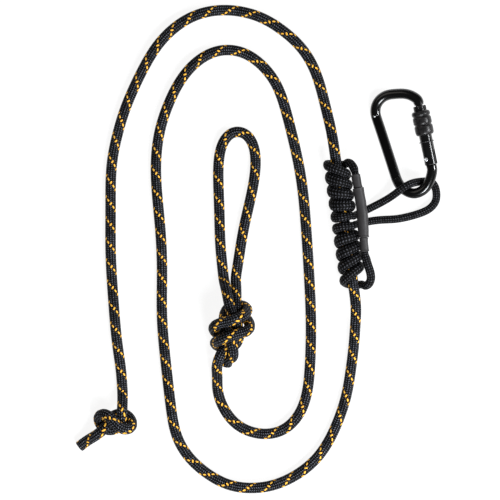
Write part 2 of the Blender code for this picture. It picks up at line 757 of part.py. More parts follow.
def waist_end(side):
    turn = np.array(hitch_matrix().to_3x3())
    return hitch_to_world([turn_place(0.0, side)])[0], turn @ turn_heading(side, True)


def bight_path():
    bar_left = crossing_height(BIGHT_OVER)
    over = on_plan(BIGHT_OVER, bar_left + (BAR_RADIUS + CORD_RADIUS + SEAT_GAP) * BIGHT_RISE_SHARE)
    under = on_plan(BIGHT_UNDER, CORD_RADIUS)
    way = [*hitch_to_world(leg_points(1))]
    way += [on_plan(pixel, height) for pixel, height in BIGHT_OUT]
    way += [over]
    way += [on_plan(pixel, height) for pixel, height in BIGHT_BETWEEN]
    way += [under]
    way += [on_plan(pixel, CORD_RADIUS) for pixel in BIGHT_ROUND]
    way += [*hitch_to_world(leg_points(-1))[::-1]]
    start, end = waist_end(1), waist_end(-1)
    points = smooth_curve(led(np.array(way), start, end, HITCH_CORD_DIAMETER))
    points[:, 2] = np.maximum(points[:, 2], CORD_RADIUS)
    points = read_by_bend(points, CORD_RADIUS * BEND_SHARE, CORD_RADIUS, HITCH_CORD_DIAMETER * 2.5)
    return over, under, squared(points, start, end, HITCH_CORD_DIAMETER)


# The carabiner, in a frame with Y along its gate, X outwards and Z through its face

def carabiner_matrix():
    spine_foot, spine_top = Vector((*SPINE_FOOT, 0.0)), Vector((*SPINE_TOP, 0.0))
    along_spine = (spine_top - spine_foot).normalized()
    roll = Matrix.Rotation(math.radians(-CARABINER_ROLL), 4, along_spine)
    turn = Matrix.Rotation(math.radians(CARABINER_LEAN), 4, "Z")
    tilted = turn @ roll
    spine_height = (tilted @ spine_foot).z
    place = on_plan(GATE_PIXEL, BAR_RADIUS + SEAT_GAP - spine_height)
    return Matrix.Translation(place) @ tilted


def crossing_height(pixel):
    # How high the middle of the bar is where the cord crosses it
    matrix = carabiner_matrix()
    bar = smooth_curve([(*spot, 0.0) for spot in BAR_RUN])
    world = np.array([matrix @ Vector(point) for point in bar])
    apart = np.linalg.norm(world[:, :2] - on_plan(pixel, 0.0)[:2], axis=1)
    return world[np.argmin(apart), 2]


CUT_MATERIAL = []


def carabiner_frame(matrix, metal, parts, cutters):
    bar = smooth_curve([(*spot, 0.0) for spot in BAR_RUN])
    points = read_by_bend(bar, BAR_RADIUS * 0.06, BAR_RADIUS * 0.6, BAR_RADIUS * 5)
    item = tube("carabiner_frame", points, BAR_RADIUS, metal, parts, 4, "Z_UP", math.pi / 12)
    item.matrix_world = matrix
    bpy.context.view_layer.update()
    item = to_mesh(item, parts)
    spine_foot, spine_top = Vector((*SPINE_FOOT, 0.0)), Vector((*SPINE_TOP, 0.0))
    spine_middle = (spine_foot + spine_top) / 2
    spine_angle = math.atan2((spine_top - spine_foot).x, (spine_top - spine_foot).y)
    spine_place = Matrix.Translation(spine_middle) @ Matrix.Rotation(-spine_angle, 4, "Z")
    half = SPINE_FLAT_THICKNESS / 2
    wide = BAR_RADIUS + CUT_OVERRUN
    for name, low, high in (("spine_face_cut", half, wide), ("spine_back_cut", -wide, -half)):
        def flats(work, low=low, high=high):
            box(work, (-wide, -SPINE_FLAT_LENGTH / 2, low), (wide, SPINE_FLAT_LENGTH / 2, high))
        boolean(item, cutter(name, flats, cutters, matrix @ spine_place), "DIFFERENCE")
    tongue_foot = SHOULDER_HEIGHT - NECK_LENGTH - TONGUE_LENGTH

    def nose(work):
        cylinder(work, NECK_DIAMETER / 2, SHOULDER_HEIGHT - NECK_LENGTH,
                 SHOULDER_HEIGHT + NECK_LENGTH, 24)

    def tongue(work):
        box(work, (-TONGUE_WIDTH / 2, tongue_foot, -TONGUE_THICKNESS / 2),
            (TONGUE_WIDTH / 2, SHOULDER_HEIGHT, TONGUE_THICKNESS / 2))

    def notch(work):
        box(work, (-TONGUE_WIDTH / 2 - CUT_OVERRUN, tongue_foot + NOTCH_FLOOR, -TONGUE_THICKNESS),
            (LATCH_PIN_DIAMETER / 2 + RUNNING_GAP, tongue_foot + NOTCH_FLOOR + NOTCH_HEIGHT,
             TONGUE_THICKNESS))

    def tab(work):
        plate_outline(work, tab_outline(), TAB_THICKNESS)

    def rivet_hole(work):
        through = Matrix.Translation((-RIVET_OFFSET, RIVET_HEIGHT, 0.0))
        through = through @ Matrix.Rotation(math.radians(90.0), 4, "X")
        cylinder(work, RIVET_DIAMETER / 2 + SEAT_GAP, -TAB_THICKNESS, TAB_THICKNESS, 20, through)
    boolean(item, cutter("nose_neck", nose, cutters, matrix), "UNION")
    boolean(item, cutter("nose_tongue", tongue, cutters, matrix), "UNION")
    boolean(item, cutter("latch_notch", notch, cutters, matrix), "DIFFERENCE")
    boolean(item, cutter("hinge_tab", tab, cutters, matrix), "UNION")
    boolean(item, cutter("tab_hole", rivet_hole, cutters, matrix), "DIFFERENCE")
    round_edges(item)
    return item


def plate_outline(work, outline, thickness):
    spots = [work.verts.new((across, along, -thickness / 2)) for across, along in outline]
    face = work.faces.new(spots)
    made = bmesh.ops.extrude_face_region(work, geom=[face])
    lifted = [part for part in made["geom"] if isinstance(part, bmesh.types.BMVert)]
    bmesh.ops.translate(work, verts=lifted, vec=(0.0, 0.0, thickness))


def tab_outline():
    # The tab's crown is a cam: it follows the plunger's tip as the gate swings
    hinge = np.array([-RIVET_OFFSET, RIVET_HEIGHT])
    tip = PLUNGER_DIAMETER / 2
    centres = []
    for degrees in np.linspace(-16.0, GATE_TRAVEL + 8.0, 12):
        angle = math.radians(degrees)
        height = PLUNGER_TIP_HEIGHT + PLUNGER_RATIO * max(angle, -0.2) + tip - RIVET_HEIGHT
        across = RIVET_OFFSET * math.cos(angle) - height * math.sin(angle)
        along = RIVET_OFFSET * math.sin(angle) + height * math.cos(angle)
        centres.append(hinge + np.array([across, along]))
    centres = np.array(centres)
    heading = np.gradient(centres, axis=0)
    heading /= np.linalg.norm(heading, axis=1)[:, None]
    inward = np.stack([-heading[:, 1], heading[:, 0]], axis=1)
    crown = centres + inward * (tip + SEAT_GAP)
    side = BAR_RADIUS * 0.94
    crown = [spot for spot in crown.tolist() if abs(spot[0]) < side]
    foot = BAR_RUN[-1][1] - BAR_RADIUS * 0.4
    left = [(-side, crown[-1][1] - BAR_RADIUS * 0.35), (-side, foot)]
    right = [(side, foot), (side, crown[0][1] - BAR_RADIUS * 0.5)]
    return right + crown + left


def gate_barrel(matrix, metal, parts, cutters):
    radius = GATE_DIAMETER / 2
    top = SHOULDER_HEIGHT - NECK_LENGTH - GATE_TIP_GAP
    chamfer = radius * 0.1
    bore = PLUNGER_DIAMETER / 2 + RUNNING_GAP
    slot_top = gate_slot_top()
    profile = [(0.0, top), (radius - chamfer, top), (radius, top - chamfer),
               (radius, chamfer - GATE_FOOT), (radius - chamfer, -GATE_FOOT), (0.0, -GATE_FOOT)]
    item = turned("gate_barrel", profile, 28, metal, parts, False)
    item.matrix_world = matrix

    def foot_slot(work):
        half = TAB_THICKNESS / 2 + RUNNING_GAP
        box(work, (-GATE_DIAMETER, -GATE_FOOT - CUT_OVERRUN, -half), (GATE_DIAMETER, slot_top, half))

    def tip_slot(work):
        half = TONGUE_THICKNESS / 2 + RUNNING_GAP
        foot = top - TONGUE_LENGTH - GATE_TIP_GAP
        box(work, (-GATE_DIAMETER, foot, -half), (GATE_DIAMETER, top + CUT_OVERRUN, half))

    def spring_bore(work):
        cylinder(work, bore, slot_top - CUT_OVERRUN, spring_top() + SEAT_GAP, 16)

    def cross_hole(radius_of_hole, across, along):
        def build(work):
            through = Matrix.Translation((across, along, 0.0))
            through = through @ Matrix.Rotation(math.radians(90.0), 4, "X")
            cylinder(work, radius_of_hole, -GATE_DIAMETER, GATE_DIAMETER, 20, through)
        return build
    rivet_hole = cross_hole(RIVET_DIAMETER / 2 + RUNNING_GAP, -RIVET_OFFSET, RIVET_HEIGHT)
    pin_hole = cross_hole(LATCH_PIN_DIAMETER / 2 + RUNNING_GAP, 0.0, latch_height())
    for name, build in (("gate_foot_slot", foot_slot), ("gate_tip_slot", tip_slot),
                        ("gate_spring_bore", spring_bore), ("gate_rivet_hole", rivet_hole),
                        ("gate_pin_hole", pin_hole)):
        boolean(item, cutter(name, build, cutters, matrix), "DIFFERENCE")
    round_edges(item)
    return item


def gate_slot_top():
    crown = max(math.hypot(across + RIVET_OFFSET, along - RIVET_HEIGHT)
                for across, along in tab_outline() if along > 0)
    return RIVET_HEIGHT + crown + RUNNING_GAP


def latch_height():
    return SHOULDER_HEIGHT - NECK_LENGTH - TONGUE_LENGTH + NOTCH_FLOOR + NOTCH_HEIGHT / 2


def spring_foot():
    return PLUNGER_TIP_HEIGHT + PLUNGER_LENGTH + SEAT_GAP


def spring_top():
    return spring_foot() + SPRING_LENGTH


def cross_pin(name, radius, half_length, across, along, matrix, metal, parts):
    def build(work):
        through = Matrix.Rotation(math.radians(90.0), 4, "X")
        cylinder(work, radius, -half_length, half_length, 16, through)
    item = mesh_object(name, build, metal, parts)
    item.matrix_world = matrix @ Matrix.Translation((across, along, 0.0))
    round_edges(item)
    return item


def gate_plunger(matrix, metal, parts):
    radius = PLUNGER_DIAMETER / 2
    profile = [(0.0, PLUNGER_LENGTH), (radius, PLUNGER_LENGTH)]
    for step in range(5):
        angle = step * math.pi / 8
        profile.append((radius * math.cos(angle), radius * (1 - math.sin(angle))))
    profile[-1] = (0.0, 0.0)
    item = turned("gate_plunger", profile, 16, metal, parts, False)
    item.matrix_world = matrix @ Matrix.Translation((0.0, PLUNGER_TIP_HEIGHT, 0.0))
    round_edges(item)
    return item


def gate_spring(matrix, metal, parts):
    wire = SPRING_WIRE / 2
    radius = PLUNGER_DIAMETER / 2 - wire
    rise = SPRING_LENGTH - 2 * wire
    points = []
    for step in range(SPRING_CURLS * 9 + 1):
        share = step / (SPRING_CURLS * 9)
        angle = 2 * math.pi * SPRING_CURLS * share
        points.append((radius * math.cos(angle), wire + rise * share, radius * math.sin(angle)))
    item = tube("gate_spring", points, wire, metal, parts, 1)
    item.matrix_world = matrix @ Matrix.Translation((0.0, spring_foot(), 0.0))
    pitch = rise / SPRING_CURLS
    print("gate_spring least gap between curls", round((pitch - SPRING_WIRE) * 1000, 2), "mm")
    return item


def lock_sleeve(matrix, metal, parts):
    outer = LOCK_DIAMETER / 2
    bore = GATE_DIAMETER / 2 + RUNNING_GAP
    groove = outer - LOCK_GROOVE_DEPTH
    # Radius and height of the outer side as shares: three rounded ribs, two grooves
    height_shares = (1.0, 0.985, 0.93, 0.86, 0.81, 0.775, 0.74, 0.69, 0.60, 0.50, 0.455, 0.42,
                     0.385, 0.33, 0.20, 0.09, 0.025, 0.0)
    depth_shares = (2.0, 0.9, 0.1, 0.0, 0.25, 1.0, 0.25, 0.0, 0.0, 0.0, 0.25, 1.0, 0.25, 0.0,
                    0.0, 0.2, 0.9, 1.9)
    side = [(outer - (outer - groove) * depth, LOCK_LENGTH * height)
            for depth, height in zip(depth_shares, height_shares)]
    item = turned("lock_sleeve", side + [(bore, 0.0), (bore, LOCK_LENGTH)], 32, metal, parts)
    item.matrix_world = matrix @ Matrix.Translation((0.0, LOCK_FOOT, 0.0))
    round_edges(item)
    return item


def stop_ring(matrix, metal, parts):
    wire = STOP_RING_WIRE / 2
    middle = GATE_DIAMETER / 2 + SEAT_GAP + wire
    profile = []
    for corner in range(8):
        angle = -math.pi * corner / 4
        profile.append((middle + wire * math.cos(angle), wire * math.sin(angle)))
    item = turned("sleeve_stop_ring", profile, 28, metal, parts)
    item.matrix_world = matrix @ Matrix.Translation((0.0, STOP_RING_HEIGHT, 0.0))
    round_edges(item)
    return item


def shrink_sleeve(name, curve, start, end, radius, material, parts, cutters):
    # A length of heat-shrink tubing over the bridge of the hitch
    points = trim(curve, start, lengths_along(curve)[-1] - end)
    points = read_by_bend(points, CORD_RADIUS * BEND_SHARE, CORD_RADIUS, CORD_RADIUS * 2)
    outer = tube(name, points, radius, material, parts, 4)
    bpy.context.view_layer.update()
    outer = to_mesh(outer, parts)
    ends = np.vstack([points[0] * 2 - points[1], points, points[-1] * 2 - points[-2]])
    inner = tube(name + "_bore", ends, BRIDGE_PRESSED_DIAMETER / 2 + SLEEVE_GAP, material,
                 cutters, 4)
    bpy.context.view_layer.update()
    inner = to_mesh(inner, cutters)
    inner.hide_render = True
    inner.display_type = "WIRE"
    boolean(outer, inner, "DIFFERENCE")
    round_edges(outer)
    return outer


def empty(name, matrix, parts):
    item = bpy.data.objects.new(name, None)
    item.matrix_world = matrix
    parts.objects.link(item)
    return item


def hold(children, parent):
    bpy.context.view_layer.update()
    for child in children:
        world = child.matrix_world.copy()
        child.parent = parent
        child.matrix_parent_inverse = parent.matrix_world.inverted()
        child.matrix_world = world


def rope_nodes(rope_material, parts):
    stopper = stopper_path()
    print("stopper knot least gap", round(least_gap([stopper], ROPE_DIAMETER) * 1000, 2), "mm")
    first, second = loop_paths()
    print("loop knot least gap", round(least_gap([first, second], ROPE_DIAMETER) * 1000, 2), "mm")
    step = KNOT_POINT_SHARE * ROPE_DIAMETER

    def knot_tube(name, path):
        path = soften(path, 2)
        path = respace(path, int(lengths_along(path)[-1] / step))
        tube(name, path, ROPE_RADIUS, rope_material, parts, 2)
        return path
    stopper = knot_tube("stopper_knot_with_tail", stopper)
    first = knot_tube("loop_knot_standing_pass", first)
    second = knot_tube("loop_knot_tail_pass", second)
    matrix = hitch_matrix()
    reach = turn_place(HITCH_TURNS, 1)[1] + ROPE_DIAMETER
    lower_reach = -turn_place(HITCH_TURNS, -1)[1] + ROPE_DIAMETER
    upper_end = np.array(matrix @ Vector((0.0, reach, 0.0)))
    lower_end = np.array(matrix @ Vector((0.0, -lower_reach, 0.0)))
    straight = np.array([lower_end * (1 - share) + upper_end * share
                         for share in np.linspace(0.0, 1.0, 7)])
    ground_rope("rope_in_hitch", straight, rope_material, parts)
    upper, lower = end_of(straight, False), end_of(straight, True)

    def run(name, pixels, start, end, rise_at):
        ends = [(np.array([*point[:2], 0.0]), unit(np.array([*heading[:2], 0.0])))
                for point, heading in (start, end)]
        curve = smooth_curve(led(plan_points(pixels, 0.0), *ends, ROPE_DIAMETER))
        line = read_by_bend(curve, ROPE_SAGITTA, ROPE_STEP_SHARES[0] * ROPE_DIAMETER,
                            ROPE_STEP_SHARES[1] * ROPE_DIAMETER)
        line = squared(line, *ends, ROPE_DIAMETER)
        along = lengths_along(line)
        line[:, 2] = ROPE_AXIS_HEIGHT
        if rise_at is not None:
            from_hitch = along if rise_at == 0 else along[-1] - along
            line[:, 2] += (HITCH_HEIGHT - ROPE_AXIS_HEIGHT) * (1 - ease(from_hitch / HITCH_RAMP_LENGTH))
        print(name, "points", len(line), "length", round(along[-1], 4))
        ground_rope(name, line, rope_material, parts)
    run("rope_outer_run", OUTER_RUN, end_of(stopper, True), upper, 1)
    run("rope_inner_run", INNER_RUN, lower, end_of(first, True), 0)
    legs = sorted([end_of(first, False), end_of(second, False)], key=lambda leg: leg[0][0])
    run("eye_loop", EYE_RUN, legs[0], legs[1], None)


def hitch_nodes(cord_material, sleeve_material, parts, cutters):
    matrix = hitch_matrix()
    made = [winding("hitch_upper_wraps", 1, cord_material, parts),
            winding("hitch_lower_wraps", -1, cord_material, parts)]
    for item in made:
        item.matrix_world = matrix
    curve, upper, lower = bridge_paths()
    length = lengths_along(curve)[-1]
    lap_place = at_along(curve, LAP_PLACE)
    lap = read_at(curve, np.array([lap_place]))[0]
    lap_heading = unit(read_at(curve, np.array([lap_place + SEAT_GAP]))[0] - lap)
    halves = (("bridge_cord_upper", 0.0, length - lap_place, upper, (lap, -lap_heading)),
              ("bridge_cord_lower", lap_place, 0.0, (lap, lap_heading), lower))
    for name, start, end, start_end, far_end in halves:
        points = trim(curve, start, end)
        points = read_by_bend(points, CORD_RADIUS * BEND_SHARE, CORD_RADIUS * 0.9, CORD_RADIUS)
        points = squared(points, start_end, far_end, BRIDGE_DIAMETER)
        item = tube(name, points, BRIDGE_DIAMETER / 2, cord_material, parts, 2,
                    scales=bridge_scales(points, curve, length))
        item.matrix_world = matrix
        made.append(item)
    tiers = (("splice_sleeve_upper", SLEEVE_ENDS[0], SLEEVE_SPLITS[0], SLEEVE_TIER_DIAMETER),
             ("splice_sleeve_main", SLEEVE_SPLITS[0], SLEEVE_SPLITS[1], SLEEVE_MAIN_DIAMETER),
             ("splice_sleeve_lower", SLEEVE_SPLITS[1], SLEEVE_ENDS[1], SLEEVE_TIER_DIAMETER))
    for name, high, low, diameter in tiers:
        start, end = at_along(curve, high) + SEAT_GAP, at_along(curve, low) - SEAT_GAP
        item = shrink_sleeve(name, curve, start, end, diameter / 2, sleeve_material, parts, cutters)
        item.matrix_world = matrix
        bore = bpy.data.objects[name + "_bore"]
        bore.matrix_world = matrix
        made.append(item)
    over, under, points = bight_path()
    made.append(tube("carabiner_bight", points, CORD_RADIUS, cord_material, parts, 2))
    return made, over, under


def carabiner_nodes(metal, steel, parts, cutters):
    matrix = carabiner_matrix()
    frame = carabiner_frame(matrix, metal, parts, cutters)
    rivet_half = math.sqrt((GATE_DIAMETER / 2) ** 2 - RIVET_OFFSET ** 2)
    rivet = cross_pin("gate_rivet", RIVET_DIAMETER / 2, rivet_half, -RIVET_OFFSET, RIVET_HEIGHT,
                      matrix, steel, parts)
    barrel = gate_barrel(matrix, metal, parts, cutters)
    pin = cross_pin("latch_pin", LATCH_PIN_DIAMETER / 2, GATE_DIAMETER / 2 - SEAT_GAP, 0.0,
                    latch_height(), matrix, steel, parts)
    ring = stop_ring(matrix, steel, parts)
    spring = gate_spring(matrix, steel, parts)
    plunger = gate_plunger(matrix, steel, parts)
    sleeve = lock_sleeve(matrix, metal, parts)
    return matrix, [frame, rivet], [barrel, pin, ring, spring], plunger, sleeve


def main():
    clear_scene()
    parts = make_collection("tree_climbing_lanyard")
    cutters = make_collection("cutters")
    rope = make_material("rope_sheath", (0.022, 0.021, 0.020), 0.85, 0.0)
    cord = make_material("hitch_cord_sheath", (0.018, 0.018, 0.020), 0.80, 0.0)
    sleeve = make_material("shrink_tubing", (0.035, 0.034, 0.034), 0.45, 0.0)
    metal = make_material("anodised_metal", (0.012, 0.012, 0.013), 0.25, 0.9)
    steel = make_material("bright_steel", (0.55, 0.55, 0.56), 0.25, 1.0)
    CUT_MATERIAL.append(make_material("cut", (0.8, 0.2, 0.2), 0.5, 0.0))
    rope_nodes(rope, parts)
    hitch, over, under = hitch_nodes(cord, sleeve, parts, cutters)
    matrix, frame, gate, plunger, lock = carabiner_nodes(metal, steel, parts, cutters)
    hitch_empty = empty("hitch_on_rope", hitch_matrix(), parts)
    swing_empty = empty("carabiner_swing_axis", Matrix.Translation((over + under) / 2), parts)
    hinge = matrix @ Matrix.Translation((-RIVET_OFFSET, RIVET_HEIGHT, 0.0))
    gate_empty = empty("gate_hinge_axis", hinge, parts)
    hold(gate + [plunger, lock], gate_empty)
    hold(frame + [gate_empty], swing_empty)
    hold(hitch + [swing_empty], hitch_empty)
    print("carabiner swing from", np.round(over, 5).tolist(), "to", np.round(under, 5).tolist())
    print("gate hinge at", [round(value, 5) for value in hinge.translation])
    print("gate axis", [round(value, 5) for value in matrix.col[1][:3]],
          "face", [round(value, 5) for value in matrix.col[2][:3]])


main()
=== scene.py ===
# Tree climbing lanyard laid out on a pale floor: braided rope, friction hitch and carabiner
import math

import bmesh
import bpy
import numpy as np
from mathutils import Matrix, Vector


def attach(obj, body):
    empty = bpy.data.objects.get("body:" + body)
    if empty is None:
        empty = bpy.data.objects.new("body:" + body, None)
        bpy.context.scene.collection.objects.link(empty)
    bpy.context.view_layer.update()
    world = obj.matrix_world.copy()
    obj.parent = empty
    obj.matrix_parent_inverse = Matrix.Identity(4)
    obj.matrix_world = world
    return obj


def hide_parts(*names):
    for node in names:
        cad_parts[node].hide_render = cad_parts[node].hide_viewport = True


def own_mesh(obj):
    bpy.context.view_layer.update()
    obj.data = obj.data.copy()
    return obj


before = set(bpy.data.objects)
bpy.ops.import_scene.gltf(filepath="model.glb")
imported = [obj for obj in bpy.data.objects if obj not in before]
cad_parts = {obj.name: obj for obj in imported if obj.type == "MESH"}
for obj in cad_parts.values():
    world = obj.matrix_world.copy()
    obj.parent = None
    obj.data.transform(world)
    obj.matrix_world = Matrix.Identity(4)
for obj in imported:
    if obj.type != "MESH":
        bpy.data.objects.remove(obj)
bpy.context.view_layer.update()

picture = {
    "pixel": 0.00102,  # metres on the ground for one pixel
    "origin": (258.226, 249.02),  # the pixel above the world's origin
    "size": 500,
    "distance": 3.2,  # how far up the camera is
    "sharpHeight": 0.008,  # the height whose scale matches the photograph
}


# Curves: arrays of points in metres

def onPlan(pixel, height):
    across = (pixel[0] - picture["origin"][0]) * picture["pixel"]
    along = (picture["origin"][1] - pixel[1]) * picture["pixel"]
    return np.array([across, along, height])


def planPoints(pixels, height):
    return np.array([onPlan(pixel, height) for pixel in pixels])


def lengthsAlong(points):
    return np.append(0.0, np.cumsum(np.linalg.norm(np.diff(points, axis=0), axis=1)))


def lengthOf(points):
    return float(lengthsAlong(points)[-1])


def readTable(table, along, places):
    return np.stack([np.interp(places, along, column) for column in table.T], axis=1)


def readAt(points, places):
    return readTable(points, lengthsAlong(points), places)


def respace(points, count):
    return readAt(points, np.linspace(0.0, lengthOf(points), count))


def unit(vector):
    return vector / np.linalg.norm(vector)


def unitRows(rows):
    return rows / np.linalg.norm(rows, axis=1)[:, None]


def smoothCurve(points, perSpan=16):  # natural cubic spline by the distance between points
    points = np.asarray(points, dtype=float)
    spans = np.diff(lengthsAlong(points))
    slopes = np.diff(points, axis=0) / spans[:, None]
    matrix, right = np.eye(len(points)), np.zeros((len(points), 3))
    for row in range(1, len(points) - 1):
        before, after = spans[row - 1:row + 1]
        matrix[row, row - 1:row + 2] = before, 2 * (before + after), after
        right[row] = 6 * (slopes[row] - slopes[row - 1])
    bends = np.linalg.solve(matrix, right)
    share = np.linspace(0.0, 1.0, perSpan, endpoint=False)[:, None]
    rest = 1 - share
    found = []
    for row, span in enumerate(spans):
        low = points[row] * rest + points[row + 1] * share
        curl = (rest ** 3 - rest) * bends[row] + (share ** 3 - share) * bends[row + 1]
        found.append(low + curl * span ** 2 / 6)
    return np.vstack(found + [points[-1:]])


def ease(share):
    share = np.clip(share, 0.0, 1.0)
    return share * share * (3 - 2 * share)


def soften(points, passes):
    points = points.copy()
    for turn in range(passes):
        points[1:-1] = 0.5 * points[1:-1] + 0.25 * (points[:-2] + points[2:])
    return points


def sideFrames(points):
    # Heading, side and up at each point, turning no more than the curve does
    heading = unitRows(np.gradient(points, axis=0))
    sides = np.zeros_like(points)
    side = np.cross(heading[0], (0.0, 0.0, 1.0))
    for row in range(len(points)):
        side = unit(side - heading[row] * np.dot(side, heading[row]))
        sides[row] = side
    return heading, sides, np.cross(heading, sides)


def spokesRound(side, up, angle):
    return side[:, None] * np.cos(angle)[:, None] + up[:, None] * np.sin(angle)[:, None]


# Meshes

def linked(name, data):
    item = bpy.data.objects.new(name, data)
    bpy.context.scene.collection.objects.link(item)
    return item


def faceOutward(mesh, weld=0.0):
    work = bmesh.new()
    work.from_mesh(mesh)
    if weld:
        bmesh.ops.remove_doubles(work, verts=work.verts, dist=weld)
        bmesh.ops.recalc_face_normals(work, faces=work.faces)
    if work.calc_volume(signed=True) < 0:
        bmesh.ops.reverse_faces(work, faces=work.faces)
    work.to_mesh(mesh)
    work.free()


def loft(name, rings, columns=0, along=None):
    # rings is an array of rings, points and 3. With columns of yarns, it is closed and has UVs.
    count, sides = rings.shape[:2]
    index = np.arange(count * sides).reshape(count, sides)
    after = np.roll(index, -1, axis=1)
    quads = np.stack([index[:-1], after[:-1], after[1:], index[1:]], axis=-1).reshape(-1, 4)
    faces = quads.tolist()
    if columns:
        faces += [index[0][::-1].tolist(), index[-1].tolist()]
    mesh = bpy.data.meshes.new(name)
    mesh.from_pydata(rings.reshape(-1, 3).tolist(), [], faces)
    if columns:
        shape = (count - 1, sides)
        left = np.broadcast_to(np.arange(sides) / sides * columns, shape)
        right = left + columns / sides
        low, high = [np.broadcast_to(ends[:, None], shape) for ends in (along[:-1], along[1:])]
        spots = np.stack([left, low, right, low, right, high, left, high], axis=-1).reshape(-1)
        spots = np.append(spots, np.full(4 * sides, 0.5))
        mesh.uv_layers.new(name="yarns").data.foreach_set("uv", spots.astype(np.float32))
    mesh.validate()
    mesh.shade_smooth()
    faceOutward(mesh)
    return linked(name, mesh)


def yarnRelief(column, along, slant):
    # Height of the plaits: high in the middle of each column and each pick
    inColumn = column - np.floor(column) - 0.5
    side = 1 - 2 * (np.floor(column) % 2)
    row = along + side * slant * inColumn
    inRow = row - np.floor(row) - 0.5
    return (1 - (2 * inColumn) ** 2) * (0.5 + 0.5 * (1 - (2 * inRow) ** 2))


def braidedTube(name, points, halfSizes, outward, values):
    # halfSizes: half width and half thickness at each point; outward: the thin way, or zeros
    count, sides = len(points), values["sides"]
    heading, side, up = sideFrames(points)
    spoke = spokesRound(side, up, 2 * math.pi * np.arange(sides) / sides)
    thin = outward - heading * (outward * heading).sum(axis=1)[:, None]
    length = np.linalg.norm(thin, axis=1)[:, None]
    thin = np.where(length > 1e-6, thin / np.maximum(length, 1e-6), side)
    wide = np.cross(heading, thin)
    along = lengthsAlong(points) / values["pick"]
    column = np.broadcast_to(np.arange(sides) / sides * values["columns"] + 0.5, (count, sides))
    relief = values["relief"] * (yarnRelief(column, along[:, None], 0.5) - 0.5)
    rings = points[:, None]
    for way, half in ((thin, halfSizes[:, 1]), (wide, halfSizes[:, 0])):
        part = (spoke * way[:, None]).sum(axis=2)
        rings = rings + way[:, None] * (part * (half[:, None] + relief))[..., None]
    if values["dome"]:
        low, high = [[points[end] + (rings[end] - points[end]) * narrow + heading[end] * way * out
                      for out, narrow in values["dome"]] for end, way in ((0, -1), (-1, 1))]
        rings = np.concatenate([low[::-1], rings, high])
        along = np.pad(along, len(values["dome"]), mode="edge")
    return loft(name, rings, values["columns"], along)


# Materials

def feed(slot, value):
    # Links an output to a socket, or sets the socket's own value
    if isinstance(value, bpy.types.NodeSocket):
        slot.id_data.links.new(value, slot)
    else:
        slot.default_value = (*value, 1.0) if slot.type == "RGBA" else value


def put(tree, kind, inputs=(), **values):
    node = tree.nodes.new(kind)
    for label, value in values.items():
        setattr(node, label, value)
    for label, value in dict(inputs).items():
        feed(node.inputs[label], value)
    return node


def reckon(operation, *values, clamp=False):
    tree = [value for value in values if isinstance(value, bpy.types.NodeSocket)][0].id_data
    node = put(tree, "ShaderNodeMath", enumerate(values), operation=operation, use_clamp=clamp)
    return node.outputs[0]


def plus(one, two):
    return reckon("ADD", one, two)


def minus(one, two, clamp=False):
    return reckon("SUBTRACT", one, two, clamp=clamp)


def times(one, two, clamp=False):
    return reckon("MULTIPLY", one, two, clamp=clamp)


def mixColour(share, low, high):
    node = put(share.id_data, "ShaderNodeMix", data_type="RGBA")
    slots = [node.inputs[0]] + [slot for slot in node.inputs if slot.type == "RGBA"]
    for slot, value in zip(slots, (share, low, high)):
        feed(slot, value)
    return [slot for slot in node.outputs if slot.type == "RGBA"][0]


def newMaterial(name, values):
    material = bpy.data.materials.new(name)
    material.use_nodes = True
    sockets = material.node_tree.nodes["Principled BSDF"].inputs
    for label, value in values.items():
        feed(sockets[label], value)
    return material, material.node_tree, sockets


def addBump(sockets, height, strength, distance):
    bump = put(height.id_data, "ShaderNodeBump",
               {"Strength": strength, "Distance": distance, "Height": height})
    feed(sockets["Normal"], bump.outputs[0])


def makeGroup(name, inputs, outputs):
    group = bpy.data.node_groups.new(name, "ShaderNodeTree")
    for label, kind in inputs.items():
        group.interface.new_socket(label, in_out="INPUT", socket_type="NodeSocket" + kind)
    for label in outputs:
        group.interface.new_socket(label, in_out="OUTPUT", socket_type="NodeSocketFloat")
    return group, put(group, "NodeGroupInput").outputs, put(group, "NodeGroupOutput").inputs


